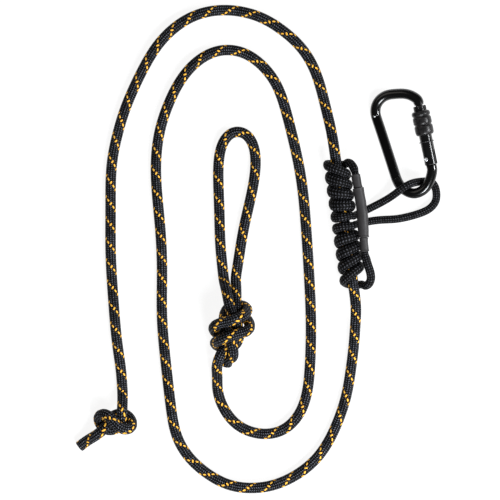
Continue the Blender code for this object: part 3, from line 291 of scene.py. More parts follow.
def makeBraidGroup():
    group, entry, leave = makeGroup(
        "plaitedYarns",
        {"Yarns": "Vector", "Slant": "Float", "Yarns in a pick": "Float", "Tracer rows": "Float"},
        ("Height", "Painted glint", "Tracer", "Near tracer", "Filament"))
    split = put(group, "ShaderNodeSeparateXYZ", {0: entry["Yarns"]}).outputs
    column = reckon("FLOOR", split[0])
    inColumn = minus(minus(split[0], column), 0.5)
    side = minus(1.0, times(reckon("FLOORED_MODULO", column, 2.0), 2.0))
    row = plus(split[1], times(times(side, entry["Slant"]), inColumn))
    rowIndex = reckon("FLOOR", row)
    inRow = minus(minus(row, rowIndex), 0.5)
    fineRow = times(row, entry["Yarns in a pick"])
    inFine = minus(reckon("FRACT", fineRow), 0.5)

    def square(value, reach):
        scaled = reckon("DIVIDE", value, reach)
        return times(scaled, scaled)

    def rounded(value, reach):
        return minus(1.0, square(value, reach), clamp=True)

    def dot(halfAcross, halfAlong):
        total = plus(square(inColumn, halfAcross), square(inRow, halfAlong))
        return times(times(minus(1.0, total), 2.5, clamp=True), chosen)

    raised = times(rounded(inColumn, 0.5), plus(0.35, times(rounded(inFine, 0.5), 0.65)))
    cell = put(group, "ShaderNodeCombineXYZ", {0: column, 1: reckon("FLOOR", fineRow)}).outputs[0]
    noise = put(group, "ShaderNodeTexWhiteNoise", noise_dimensions="3D")
    feed(noise.inputs["Vector"], cell)
    chance = plus(0.45, times(noise.outputs["Value"], 0.9))
    # A spot on the crown of each yarn, where a painted glint goes
    spot = times(rounded(inColumn, 0.42), rounded(inFine, 0.36))
    step = reckon("FLOORED_MODULO", plus(rowIndex, column), entry["Tracer rows"])
    chosen = reckon("LESS_THAN", step, 0.5)
    filament = plus(0.5, times(reckon("SINE", times(row, 2 * math.pi * 5.0)), 0.5))
    for label, value in (("Filament", filament), ("Height", plus(raised, times(filament, 0.08))),
                         ("Painted glint", times(reckon("POWER", spot, 2.8), chance, clamp=True)),
                         ("Tracer", dot(0.45, 0.37)), ("Near tracer", dot(0.62, 0.66))):
        feed(leave[label], value)
    return group


def braidMaterial(name, values):
    material, tree, sockets = newMaterial(name, {
        "Roughness": 0.62, "Sheen Weight": 0.01, "Sheen Roughness": 0.4,
        "Specular IOR Level": 0.1})
    braid = put(tree, "ShaderNodeGroup", {
        "Yarns": put(tree, "ShaderNodeUVMap", uv_map="yarns").outputs[0], "Slant": values["slant"],
        "Yarns in a pick": values["yarnsInPick"], "Tracer rows": values["tracerRows"]},
        node_tree=braidGroup).outputs
    cloud = put(tree, "ShaderNodeTexNoise", {
        "Scale": 60.0, "Detail": 3.0, "Vector": put(tree, "ShaderNodeTexCoord").outputs["Object"]})
    # Painted glints: a light fleck on the crown of each yarn, varied at random, over the dark
    # colour of the sheath
    glintShare = times(braid["Painted glint"], plus(0.35, times(cloud.outputs["Fac"], 1.2)), clamp=True)
    strand = plus(0.72, times(braid["Filament"], 0.42))
    colour = mixColour(times(glintShare, strand, clamp=True), values["dark"], values["glintColour"])
    if "tracer" in values:
        # Painted shade round each tracer dot
        colour = mixColour(minus(1.0, braid["Near tracer"]), values["shade"], colour)
        # Tracer dots: orange dye, with a painted highlight that turns each dot's centre yellow
        dyeAndHighlight = mixColour(times(braid["Tracer"], strand, clamp=True), *values["tracer"])
        share = times(braid["Tracer"], 3.0, clamp=True)
        colour = mixColour(share, colour, dyeAndHighlight)
        # A painted glow: the tracer dots emit light, though they are no lamp
        feed(sockets["Emission Color"], colour)
        feed(sockets["Emission Strength"], times(share, values["paintedTracerGlow"]))
    feed(sockets["Base Color"], colour)
    addBump(sockets, braid["Height"], values["bump"], values["depth"])
    return material


def makeMetalGroup():
    # Clouding and fine scratches for finished metal
    group, entry, leave = makeGroup("finishedMetal", {"Scale": "Float"},
                                    ("Cloud", "Scratch", "Grain"))
    place = put(group, "ShaderNodeTexCoord").outputs["Object"]
    drawn = put(group, "ShaderNodeMapping", {"Vector": place, "Rotation": (0.0, 0.0, 0.4),
                                             "Scale": (1.0, 14.0, 1.0)}).outputs[0]
    for label, ratio, detail, source in (("Cloud", 1.0, 4.0, place), ("Grain", 9.0, 2.0, place),
                                         ("Scratch", 5.0, 3.0, drawn)):
        noise = put(group, "ShaderNodeTexNoise", {
            "Detail": detail, "Scale": times(entry["Scale"], ratio), "Vector": source})
        feed(leave[label], noise.outputs["Fac"])
    return group


def metalMaterial(name, low, high, roughness, metallic, spread=0.1, coat=0.0, specular=0.5,
                  scale=90.0, bump=0.15):
    material, tree, sockets = newMaterial(name, {
        "Roughness": roughness, "Metallic": metallic, "Specular IOR Level": specular,
        "Coat Weight": coat, "Coat Roughness": 0.12})
    marks = put(tree, "ShaderNodeGroup", {"Scale": scale}, node_tree=metalGroup).outputs
    mottled = times(minus(marks["Cloud"], 0.3), 2.5, clamp=True)
    feed(sockets["Base Color"], mixColour(mottled, low, high))
    feed(sockets["Roughness"], plus(roughness - spread, times(marks["Scratch"], 2 * spread)))
    addBump(sockets, marks["Grain"], bump, 0.0001)
    return material


def tubingMaterial():
    material, tree, sockets = newMaterial("shrinkTubing", {"Specular IOR Level": 0.4})
    marks = put(tree, "ShaderNodeGroup", {"Scale": 70.0}, node_tree=metalGroup).outputs
    cloud = marks["Cloud"]
    feed(sockets["Base Color"], mixColour(cloud, (0.030, 0.028, 0.029), (0.050, 0.046, 0.048)))
    feed(sockets["Roughness"], plus(0.38, times(cloud, 0.25)))
    addBump(sockets, plus(cloud, times(marks["Grain"], 0.25)), 0.35, 0.0003)
    return material


def dress(item, material, body):
    item.data.materials.clear()
    item.data.materials.append(material)
    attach(item, body)


print("mixing the materials")
braidGroup, metalGroup = makeBraidGroup(), makeMetalGroup()
heatShrink = tubingMaterial()
brightSteel = metalMaterial("brightSteel", (0.60, 0.60, 0.61), (0.78, 0.78, 0.80), 0.3, 0.55)


# The rope, whose knots are drawn tight from loose ones

rope = {
    "diameter": 0.011,
    "columns": 12,  # plaits round the rope
    "pick": 0.00357,  # length of one plait
    "ringsPerPick": 3,
    "sides": 24,
    "relief": 0.00022,
    "rampLength": 0.062,  # from the hitch's height down to the ground
    "straightBeyond": 0.015,  # past the turns of the hitch, longer than its slide
    "stepAlong": 0.009,
    "knotStep": 0.004,
    "dome": [(0.0003, 0.95), (0.0006, 0.80), (0.0008, 0.40)],  # of a melted end: out and wide
}
knots = {
    "gap": 0.001,
    "loopDrawnGap": 0.0012,
    "bendShare": 0.6,  # least radius of a bend, in diameters
    "pullShare": 0.5,
    "pushShare": 0.6,
    "reachShare": 0.35,
    "driftShare": 0.05,
    "lastPullShare": 0.1,
    "lastPasses": 60,
    "sinkShare": 0.02,
    "stopperSize": 1.0,
    "stopperPoints": 90,
    "stopperBendShare": 0.5,
    "stopperTilt": -25.0,
    "stopperHeight": 1.45,
    "stopperReach": 1.7,
    "stopperLaid": (70, 6),  # points, and how often they're softened
    "stopperPasses": 1500,
    "stopperSeatPasses": 100,
    "loopSize": 2.4,
    "loopPoints": 130,
    "loopPair": 0.53,
    "loopHeight": 2.3,
    "loopBody": 2.4,
    "loopReach": 2.7,
    "loopLaid": (95, 10),
    "loopPasses": 500,
    "loopSeatPasses": 80,
    "tailLift": (0.3, 0.6),
    "strandGap": 0.0003,
    "sameStrand": 0.017,  # along the rope, nearer places aren't pushed apart
    "partReach": 4.5,
    "partPasses": 40,
}
# Sheath colours: the lighter one is a painted glint on the crown of each yarn; the tracer dots get
# a painted highlight, a painted glow and painted shade round them
ropeSheath = braidMaterial("ropeSheath", {
    "dark": (0.0010, 0.0007, 0.0008), "glintColour": (0.205, 0.215, 0.255), "slant": 0.55,
    "yarnsInPick": 1.6, "bump": 0.8, "depth": 0.0005, "tracerRows": 6.0, "paintedTracerGlow": 0.16,
    "tracer": ((0.95, 0.19, 0.02), (1.0, 0.63, 0.08)), "shade": (0.004, 0.004, 0.008)})
meltedEnd = metalMaterial("meltedRopeEnd", (0.003, 0.0027, 0.0027), (0.022, 0.016, 0.012),
                          0.38, 0.0, scale=420.0, bump=0.6)
ropeRadius = rope["diameter"] / 2

# Routes in pixels of the picture, from straight above
outerRun = [(121.0, 371.0), (118.0, 350.0), (113.4, 302.0), (110.6, 254.0),
            (110.5, 206.0), (112.4, 158.0), (117.2, 134.9), (123.9, 112.0), (133.0, 89.5),
            (143.5, 68.0), (155.8, 47.3), (172.0, 29.5), (192.1, 16.4), (215.4, 10.2),
            (239.6, 11.0), (262.7, 17.9), (283.2, 30.6), (300.9, 46.9), (313.7, 67.2),
            (321.5, 90.0), (327.2, 113.4), (331.0, 130.0)]
innerRun = [(355.6, 318.0), (353.9, 345.0), (350.6, 372.0), (346.5, 395.6), (339.2, 418.5),
            (329.3, 440.4), (315.5, 460.0), (296.6, 475.1), (274.7, 485.1), (250.9, 488.4),
            (227.1, 484.6), (206.0, 473.0), (188.2, 456.7), (176.4, 435.7), (171.5, 412.0),
            (165.9, 364.3), (161.9, 316.4), (162.0, 268.4), (159.5, 220.4), (155.8, 172.5),
            (161.1, 124.9), (169.1, 102.2), (180.0, 80.8), (195.5, 62.5), (216.7, 50.8),
            (241.0, 51.5), (261.6, 64.6), (276.3, 83.8), (284.8, 106.4), (290.9, 129.6),
            (300.9, 176.6), (305.9, 224.4), (309.0, 272.3), (311.0, 320.3), (309.9, 368.3),
            (307.3, 392.2), (299.1, 414.8), (281.3, 431.3), (256.9, 433.7), (234.9, 423.5),
            (221.6, 404.5)]
eyeRun = [(220.4, 246.0), (219.4, 214.0), (218.3, 182.0), (219.4, 154.0),
          (225.4, 137.5), (236.2, 130.2), (248.0, 135.0), (255.0, 150.5), (255.6, 167.2),
          (250.4, 199.0), (243.4, 230.1)]
stopperPixel = (116.5, 421.5)
stopperLead = [(122.2, 388.0), (122.4, 391.5), (122.6, 395.0)]
stopperTail = [(87.0, 440.5), (83.0, 443.8), (79.2, 446.8)]
loopPixel = (232.0, 327.0)
loopStanding = [(217.2, 386.0), (217.2, 380.0), (217.4, 374.0)]
loopTail = [(226.6, 364.6), (226.7, 361.6), (226.8, 358.6)]
loopLegs = [[(223.6, 279.0), (223.2, 275.0), (222.8, 271.0)],
            [(235.4, 279.0), (236.0, 275.5), (236.8, 271.0)]]


def settle(strands, diameter, centre, passes, floor, sink, bendShare, pullShare):
    # Pulls the strands tight pass by pass, apart from each other and off the floor
    keep = 3
    ends = np.cumsum([len(strand) for strand in strands])
    starts = np.append(0, ends[:-1])
    points = np.vstack(strands)
    total = len(points)
    which = np.repeat(np.arange(len(strands)), ends - starts)
    held, weight = np.ones(total, bool), np.zeros(total)
    for start, end in zip(starts, ends):
        held[start + keep:end - keep] = False
        weight[start:end] = np.sin(np.linspace(0.0, np.pi, end - start)) ** 2
    weight[held] = 0.0
    first, second = np.triu_indices(total, 2)
    same = which[first] == which[second]
    leastBend = bendShare * diameter
    driftShare = knots["driftShare"] if pullShare == knots["pullShare"] else 0.0
    for turn in range(passes):
        moved = points.copy()
        moved[1:-1] += pullShare * (0.5 * (points[:-2] + points[2:]) - points[1:-1])
        moved[held] = points[held]
        points = moved
        middle = (points * weight[:, None] ** 4).sum(axis=0) / (weight ** 4).sum()
        points[:, :2] += driftShare * weight[:, None] * (centre[:2] - middle[:2])
        points[:, 2] -= sink * weight * diameter
        if turn % 5 == 0:
            steps = [np.linalg.norm(np.diff(points[start:end], axis=0), axis=1).mean()
                     for start, end in zip(starts, ends)]
            arcs = (second - first) * np.array(steps)[which[first]]
            chord = 2 * leastBend * np.sin(np.clip(arcs / (2 * leastBend), 0.0, np.pi / 2))
            limit = np.where(same, np.minimum(diameter, 0.99 * chord), diameter)
            apart = np.linalg.norm(points[first] - points[second], axis=1)
            close = np.nonzero(apart < limit + knots["reachShare"] * diameter)[0]
            one, two, allowed = first[close], second[close], limit[close]
        for push in range(2):
            between = points[one] - points[two]
            apart = np.linalg.norm(between, axis=1) + 1e-12
            over = np.clip(allowed - apart, 0.0, None)
            move = between / apart[:, None] * over[:, None]
            sums, hits = np.zeros_like(points), np.zeros(total)
            for index, way in ((one, 1), (two, -1)):
                np.add.at(sums, index, way * move)
                np.add.at(hits, index, over > 0)
            sums *= (knots["pushShare"] / np.sqrt(np.maximum(hits, 1)))[:, None]
            sums[held] = 0.0
            points = points + sums
            points[~held, 2] = np.maximum(points[~held, 2], floor)
        if turn % 10 == 9:
            for start, end in zip(starts, ends):
                span = slice(start + keep - 1, end - keep + 1)
                points[span] = respace(points[span], end - start - 2 * keep + 2)
    return [points[start:end] for start, end in zip(starts, ends)]


def looseKnot(size, lead, count):
    # An open trefoil with straight leads
    share = np.linspace(-2.0, 2.0, 200)
    knot = size * np.stack([share ** 3 - 3 * share, 0.42 * (share ** 5 - 10 * share),
                            share ** 4 - 4 * share ** 2 + 2.2], axis=1)
    share = np.linspace(0.0, 1.0, 30)[:, None]
    low = np.array([0.0, knot[0, 1] - lead, 0.0])
    high = np.array([0.0, knot[-1, 1] + lead, 0.0])
    line = np.vstack([low * (1 - share) + knot[0] * share, knot[1:-1],
                      knot[-1] * (1 - share) + high * share])
    return respace(soften(line, 60), count)


def turnedAboutZ(points, degrees):
    cosine, sine = math.cos(math.radians(degrees)), math.sin(math.radians(degrees))
    across = cosine * points[:, 0] - sine * points[:, 1]
    along = sine * points[:, 0] + cosine * points[:, 1]
    return np.stack([across, along, points[:, 2]], axis=1)


def within(points, reach):  # the part between the first and last places nearer than reach
    near = np.nonzero(np.abs(points[:, 1]) < reach)[0]
    return points[near[0]:near[-1] + 1]


def joined(leadIn, body, leadOut, count, passes):
    share = np.linspace(0.0, 1.0, 30)[1:-1, None]
    wayIn = leadIn[-1] * (1 - share) + body[0] * share
    wayOut = body[-1] * (1 - share) + leadOut[0] * share
    middle = np.vstack([leadIn[-1:], wayIn, body, wayOut, leadOut[:1]])
    middle = respace(soften(middle, passes), count)
    return np.vstack([leadIn[:-1], middle, leadOut[1:]])


def seated(paths, diameter, centre, passes, bendShare):
    for count, sink, pull in ((passes, knots["sinkShare"], knots["pullShare"]),
                              (knots["lastPasses"], 0.0, knots["lastPullShare"])):
        paths = settle(paths, diameter, centre, count, ropeRadius, sink, bendShare, pull)
    return paths


def stopperPath():
    size = rope["diameter"]
    centre = onPlan(stopperPixel, knots["stopperHeight"] * size)
    spaced, bend = size + knots["gap"], knots["stopperBendShare"]
    loose = looseKnot(knots["stopperSize"] * size, size, knots["stopperPoints"])
    knot = settle([loose], spaced, np.zeros(3), knots["stopperPasses"], -np.inf, 0.0, bend,
                  knots["pullShare"])[0]
    middle = knot[25:-25].mean(axis=0)
    middle[1] = knot[:, 1].mean()
    knot = within(knot - middle, knots["stopperReach"] * size)[::-1]
    knot = turnedAboutZ(knot, knots["stopperTilt"]) + centre
    lead, tail = [planPoints(part, ropeRadius) for part in (stopperLead, stopperTail)]
    path = joined(lead, knot, tail, *knots["stopperLaid"])
    return seated([path], spaced, centre, knots["stopperSeatPasses"], bend)[0]


def loopPaths():
    # Both passes of an overhand loop knot: from the standing rope, and from the tail
    size, bend = rope["diameter"], knots["bendShare"]
    line = looseKnot(knots["loopSize"] * size, 0.0, knots["loopPoints"])
    heading, sides, ups = sideFrames(line)
    wanted = np.cross(heading[-1], (0.0, 0.0, 1.0))
    twist = math.atan2(np.dot(wanted, ups[-1]), np.dot(wanted, sides[-1]))
    twist = (twist + math.pi / 2) % math.pi - math.pi / 2
    angle = np.linspace(0.0, twist, len(line))[:, None]
    offset = knots["loopPair"] * size * (sides * np.cos(angle) + ups * np.sin(angle))
    pair = settle([line - offset, line + offset], size + knots["loopDrawnGap"], np.zeros(3),
                  knots["loopPasses"], -np.inf, 0.0, bend, knots["pullShare"])
    along = np.vstack(pair)[:, 1]
    middle = np.array([0.0, (along.min() + along.max()) / 2, 0.0])
    pair = [strand - middle for strand in pair]
    body = np.vstack([strand[np.abs(strand[:, 1]) < knots["loopBody"] * size]
                      for strand in pair]).mean(axis=0) * (1, 0, 1)
    centre = onPlan(loopPixel, knots["loopHeight"] * size)
    bodies = [within(strand, knots["loopReach"] * size) - body + centre for strand in pair]
    bodies.sort(key=lambda strand: strand[0, 0])
    legs = [planPoints(leg, ropeRadius) for leg in loopLegs]
    if bodies[0][-1, 0] > bodies[1][-1, 0]:
        legs.reverse()
    leads = [planPoints(lead, ropeRadius) for lead in (loopStanding, loopTail)]
    leads[1][:, 2] += np.linspace(*knots["tailLift"], 3) * size
    paths = [joined(*parts, *knots["loopLaid"]) for parts in zip(leads, bodies, legs)]
    return seated(paths, size + knots["gap"], centre, knots["loopSeatPasses"], bend)


def partStrands(curve):
    # Pushes apart the strands of the knots that softening has drawn together
    spacing = lengthOf(curve) / (len(curve) - 1)
    away = np.min([np.linalg.norm((curve - onPlan(pixel, 0.0))[:, :2], axis=1)
                   for pixel in (stopperPixel, loopPixel)], axis=0)
    chosen = np.nonzero(away < knots["partReach"] * rope["diameter"])[0]
    apart = np.abs(chosen[:, None] - chosen) * spacing
    rows = np.arange(len(chosen))
    for turn in range(knots["partPasses"]):
        between = curve[chosen][:, None] - curve[chosen]
        gaps = np.linalg.norm(between, axis=2)
        gaps[apart < knots["sameStrand"]] = np.inf
        nearest = np.argmin(gaps, axis=1)
        wanted = rope["diameter"] + knots["strandGap"]
        short = np.clip(wanted - gaps[rows, nearest], 0.0, None) / 2
        moves = np.zeros_like(curve)
        moves[chosen] = unitRows(between[rows, nearest]) * short[:, None]
        curve = curve + soften(moves, 8)
        curve[:, 2] = np.maximum(curve[:, 2], ropeRadius)
    return curve


def groundRun(pixels, start, startWay, end, endWay, hitchSide=None):
    # On the ground from knot to knot, and raised where it starts or ends at the hitch
    lead, flat = rope["diameter"] * 0.25, (1, 1, 0)
    first, last = start * flat, end * flat
    curve = smoothCurve(np.vstack([first, first + startWay * flat * lead, planPoints(pixels, 0.0),
                                   last + endWay * flat * lead, last]))
    curve = respace(curve, int(lengthOf(curve) / rope["stepAlong"]))
    along = lengthsAlong(curve)
    curve[:, 2] = ropeRadius
    if hitchSide is not None:
        fromHitch = along if hitchSide == 0 else along[-1] - along
        curve[:, 2] += (hitchHeight - ropeRadius) * (1 - ease(fromHitch / rope["rampLength"]))
    return curve


def ropeRoute(stopper, firstPass, secondPass):
    reaches = [turnPlace(hitch["turns"], side)[1] + side * rope["straightBeyond"]
               for side in (1, -1)]
    upperEnd, lowerEnd = [np.array(hitchMatrix() @ Vector((0.0, reach, 0.0)))
                          for reach in reaches]
    axis = unit(upperEnd - lowerEnd)
    outer = groundRun(outerRun, stopper[0], unit(stopper[0] - stopper[1]), upperEnd, axis, 1)
    inner = groundRun(innerRun, lowerEnd, -axis, firstPass[0],
                      unit(firstPass[0] - firstPass[1]), 0)
    left, right = sorted([firstPass, secondPass], key=lambda path: path[-1, 0])
    eye = groundRun(eyeRun, left[-1], unit(left[-1] - left[-2]),
                    right[-1], unit(right[-1] - right[-2]))
    if left is secondPass:
        eye = eye[::-1]
    straight = [upperEnd * (1 - share) + lowerEnd * share for share in np.linspace(0.0, 1.0, 18)]
    tied = [respace(path, int(lengthOf(path) / rope["knotStep"]))
            for path in (stopper[::-1], firstPass, secondPass[::-1])]
    points = soften(np.vstack([tied[0], outer[1:-1], straight, inner[1:-1], tied[1], eye[1:-1],
                               tied[2]]), 1)
    curve = smoothCurve(points, 6)
    count = int(lengthOf(curve) / rope["pick"] * rope["ringsPerPick"])
    return respace(partStrands(respace(curve, count)), count)


# The hitch, in a frame with Y up the rope and X to the right of it

hitch = {
    "cord": 0.008,
    "bridge": 0.0088,
    "pressed": 0.0072,  # inside the tubing
    "swell": 0.005,
    "swellStart": 0.002,
    "drawnThin": 0.06,
    "turns": 4.875,
    "turnPoints": 48,
    "thickness": 0.0078,
    "turnGap": 0.0004,
    "legSpacing": 0.0090,
    "waistSpacing": 0.0118,
    "innerPitch": 0.0107,
    "outerPitch": 0.0134,
    "lowerReach": 0.0078,
    "lowerReachTurn": 4.5,
    "reachTurns": 0.375,
    "taperTurns": 1.0,
    "headingTurns": 1 / 24,
    "leadShare": 0.2,
    "lean": 8.0,
    "groundGap": 0.00025,
    "runningGap": 0.00035,
    "pixel": (344.3, 221.8),
    "legLeans": {1: 0.30, -1: 0.10},
    "columns": 10,
    "pick": 0.0025,
    "ringsPerPick": 3,
    "sides": 20,
    "relief": 0.00016,
    "lap": 0.004,
    "lapGap": 0.0002,
    "bridgePoints": 90,
    "bightStep": 0.0013,
    "dome": [],
}
# Sheath colours: the lighter one is a painted glint on the crown of each yarn
cordSheath = braidMaterial("hitchCordSheath", {
    "dark": (0.0014, 0.0010, 0.0011), "glintColour": (0.120, 0.122, 0.140), "slant": 0.45,
    "yarnsInPick": 1.0, "bump": 0.8, "depth": 0.0004, "tracerRows": 1000.0})
cordRadius = hitch["cord"] / 2
turnRadius = ropeRadius + hitch["runningGap"] + hitch["thickness"] / 2
hitchHeight = turnRadius + hitch["thickness"] / 2 + hitch["groundGap"]

# The bight over and under the carabiner: pixels, with heights where it leaves the ground
bightOut = [((386.8, 199.4), 0.0075), ((394.5, 194.2), 0.0128), ((403.3, 187.6), 0.01657),
            ((408.6, 184.6), 0.0143), ((413.6, 182.8), 0.0100), ((418.8, 181.8), 0.0062)]
bightRound = [(425.6, 181.2), (430.8, 181.8), (434.6, 185.4), (436.6, 192.5), (436.0, 200.5),
              (430.5, 208.0), (420.0, 213.3), (408.0, 216.8), (396.0, 219.0), (382.0, 219.8)]
# The bridge, right of the turns: across and along the rope, and above its middle
bridgePlaces = [(0.0106, 0.0590, -0.0030), (0.0138, 0.0580, 0.0012), (0.0160, 0.0548, 0.0050),
                (0.0172, 0.0495, 0.0080), (0.0176, 0.0420, 0.0093), (0.0182, 0.0310, 0.0098),
                (0.0188, 0.0160, 0.0098), (0.0181, -0.0030, 0.0098), (0.0166, -0.0200, 0.0098),
                (0.0158, -0.0360, 0.0098), (0.0170, -0.0460, 0.0098), (0.0184, -0.0540, 0.0092),
                (0.0184, -0.0605, 0.0072), (0.0160, -0.0655, 0.0036), (0.0112, -0.0672, -0.0020)]


def turnPlace(turns, side):
    angle = 2 * math.pi * turns
    inner = hitch["legSpacing"] / 2 + hitch["innerPitch"] * turns
    outer = hitch["waistSpacing"] / 2 + hitch["outerPitch"] * (turns - 0.5)
    share = (1 + math.cos(angle)) / 2
    along = inner * share + outer * (1 - share)
    if side < 0:
        stretch = (turns - hitch["lowerReachTurn"]) / hitch["reachTurns"]
        along += hitch["lowerReach"] * float(ease(stretch))
    return np.array([turnRadius * math.cos(angle), side * along, turnRadius * math.sin(angle)])


def strandHalfSizes(turns, slope):
    share = (1 + math.cos(2 * math.pi * turns)) / 2
    pitch = hitch["innerPitch"] * share + hitch["outerPitch"] * (1 - share)
    full = (pitch - hitch["turnGap"]) * math.cos(slope)
    near = float(ease(turns / hitch["taperTurns"]))
    far = float(ease((hitch["turns"] - turns) / hitch["taperTurns"]))
    width = hitch["cord"] + (full - hitch["cord"]) * near
    width = hitch["bridge"] + (width - hitch["bridge"]) * far
    return width / 2, hitch["thickness"] / 2


def hitchMatrix():
    place = onPlan(hitch["pixel"], hitchHeight)
    return Matrix.Translation(place) @ Matrix.Rotation(math.radians(hitch["lean"]), 4, "Z")


def hitchToWorld(points):
    matrix = np.array(hitchMatrix())
    return np.asarray(points) @ matrix[:3, :3].T + matrix[:3, 3]


def turnEnd(side, turns, way, width):
    # Where the turns end, and a point a little further on
    end = turnPlace(turns, side)
    before = turnPlace(turns - way * hitch["headingTurns"], side)
    return end, end + unit(end - before) * (width * hitch["leadShare"])


def bridgeCurve():
    upper, lower = [turnEnd(side, hitch["turns"], 1, hitch["bridge"]) for side in (1, -1)]
    return smoothCurve(np.vstack([*upper, bridgePlaces, *lower[::-1]]))


def atAlong(curve, along):
    return float(np.interp(-along, -curve[:, 1], lengthsAlong(curve)))


def legPoints(side):
    # From the waist, down to the ground
    ends = turnEnd(side, 0.0, -1, hitch["cord"])
    drop = hitchHeight - cordRadius
    found = list(ends)
    for angle in np.array([0.3, 0.55, 0.8, 1.0]) * math.pi / 2:
        out = drop * (1 - math.cos(angle))
        lean = out * hitch["legLeans"][side]
        found.append(ends[0] + np.array([out, lean, -drop * math.sin(angle)]))
    return hitchToWorld(found)


def bightCurve():
    way = [*legPoints(1), *[onPlan(pixel, height) for pixel, height in bightOut],
           *planPoints(bightRound, cordRadius), *legPoints(-1)[::-1]]
    points = smoothCurve(way)
    points[:, 2] = np.maximum(points[:, 2], cordRadius)
    points = soften(points, 6)
    return respace(points, int(lengthOf(points) / hitch["bightStep"]))


def bridgeHalfSizes(bridge, places):
    length = lengthOf(bridge)
    high, low = [atAlong(bridge, end) for end in (tubing["ends"][0], tubing["ends"][-1])]
    outside = np.maximum(high - places, places - low) - hitch["swellStart"]
    swell = ease(np.clip(outside, 0, None) / hitch["swell"])
    width = hitch["pressed"] + (hitch["bridge"] - hitch["pressed"]) * swell
    rise = ease(np.minimum(places, length - places) / hitch["swell"])
    thick = hitch["thickness"] + (hitch["bridge"] - hitch["thickness"]) * rise
    return np.stack([width / 2, np.minimum(width, thick) / 2], axis=1)


def hitchRoute():
    # From the lap, down the bridge, up the lower turns, round the bight, and back
    bridge, count = bridgeCurve(), hitch["bridgePoints"]
    lap, length = atAlong(bridge, hitch["lap"]), lengthOf(bridge)
    runs = []
    for start, end, gap in ((lap, length, (1, 0)), (0.0, lap, (0, -1))):
        sizes = bridgeHalfSizes(bridge, np.linspace(start, end, count))
        start, end = start + gap[0] * hitch["lapGap"], end + gap[1] * hitch["lapGap"]
        line = hitchToWorld(readAt(bridge, np.linspace(start, end, count)))
        runs.append((line, sizes, np.zeros((count, 3))))
    places = np.linspace(0.0, hitch["turns"], round(hitch["turns"] * hitch["turnPoints"]) + 1)
    for side in (-1, 1):
        line = np.array([turnPlace(turn, side) for turn in places])
        heading = np.gradient(line, axis=0)
        steep = np.abs(heading[:, 1]) / np.linalg.norm(heading, axis=1)
        slopes = np.arcsin(np.clip(steep, 0, 1))
        sizes = np.array([strandHalfSizes(turn, slope) for turn, slope in zip(places, slopes)])
        outward = hitchToWorld(line * (1, 0, 1)) - hitchToWorld([[0, 0, 0]])
        runs.append((hitchToWorld(line), sizes, outward))
    bight = bightCurve()
    lower, upper, lowerTurns, upperTurns = runs
    order = [lower, [table[::-1] for table in lowerTurns],
             (bight[::-1], np.full((len(bight), 2), cordRadius), np.zeros((len(bight), 3))),
             upperTurns, upper]
    tables = [np.vstack([run[kind][min(number, 1):] for number, run in enumerate(order)])
              for kind in range(3)]
    along = lengthsAlong(tables[0])
    places = np.linspace(0.0, along[-1],
                         int(along[-1] / hitch["pick"] * hitch["ringsPerPick"]))
    points, sizes, outward = [readTable(table, along, places) for table in tables]
    # Softened where the turns run into the bridge and the bight, kept round on the rope
    parts = [lengthOf(run[0]) for run in (lower, lowerTurns, upper, upperTurns)]
    joins = np.array([parts[0], parts[0] + parts[1],
                      along[-1] - parts[2], along[-1] - parts[2] - parts[3]])
    far = np.min(np.abs(places[:, None] - joins), axis=1) / hitch["swell"]
    share = 1 - ease(far - 1)[:, None]
    points = points + (soften(points, 6) - points) * share
    return points, sizes * (1 - hitch["drawnThin"] * share), outward


# Heat-shrink tubing over the bridge, in three tiers

tubing = {
    "ends": (0.0455, 0.0322, -0.0186, -0.0330),  # of the tiers, along the rope
    "outer": 0.0096,
    "middle": 0.0117,
    "gap": 0.0005,
    "tierGap": 0.0003,
    "sides": 32,
    "step": 0.0011,
    "edge": 0.0007,
    "edgeRounding": 0.045,
    "waviness": 0.00028,
    "waves": ((0.0052, 0, 0.55), (0.0023, 2, 0.45)),  # length, turns and share
}


def tubingRings(curve, start, end, radius, bore, phase):
    # Outer side from one end to the other, and back along the bore
    length = end - start
    edge = tubing["edge"] / length
    along = np.linspace(0.0, 1.0, max(int(length / tubing["step"]), 8))
    along = np.sort(np.append(along, [edge * 0.3, edge, 1 - edge, 1 - edge * 0.3]))
    points = readAt(curve, start + along * length)
    heading, side, up = sideFrames(points)
    fromEnd = np.minimum(along, 1 - along) * length / tubing["edge"]
    rounding = np.sqrt(np.clip(1 - (1 - np.clip(fromEnd, 0, 1)) ** 2, 0, 1))
    rounding = 1 - tubing["edgeRounding"] * (1 - rounding)
    angle = 2 * math.pi * np.arange(tubing["sides"]) / tubing["sides"]
    wave = sum(np.sin(along[:, None] * length / size + turns * angle + phase) * share
               for size, turns, share in tubing["waves"])
    outer = tubing["waviness"] * (wave - 1) * np.clip(fromEnd - 1, 0, 1)[:, None]
    outer = radius * rounding[:, None] + outer
    spoke = spokesRound(side, up, angle)
    outside = points[:, None] + spoke * outer[..., None]
    inside = (points[:, None] + spoke * bore)[::-1]
    return np.concatenate([outside, inside, outside[:1]])


def tubingTiers():
    bridge = bridgeCurve()
    places = [atAlong(bridge, end) for end in tubing["ends"]]
    bore = hitch["pressed"] / 2 + tubing["gap"]
    tiers = []
    for number, (start, end) in enumerate(zip(places, places[1:])):
        radius = (tubing["middle"] if number == 1 else tubing["outer"]) / 2
        first = start + (tubing["tierGap"] / 2 if number else 0.0)
        last = end - (tubing["tierGap"] / 2 if number < 2 else 0.0)
        rings = tubingRings(hitchToWorld(bridge), first, last, radius, bore, 1.7 * number)
        tiers.append(loft("tubingTier" + str(number + 1), rings))
        faceOutward(tiers[-1].data, weld=1e-6)
    return tiers


print("drawing the knots tight")
stopper = soften(stopperPath(), 2)
firstPass, secondPass = [soften(path, 2) for path in loopPaths()]

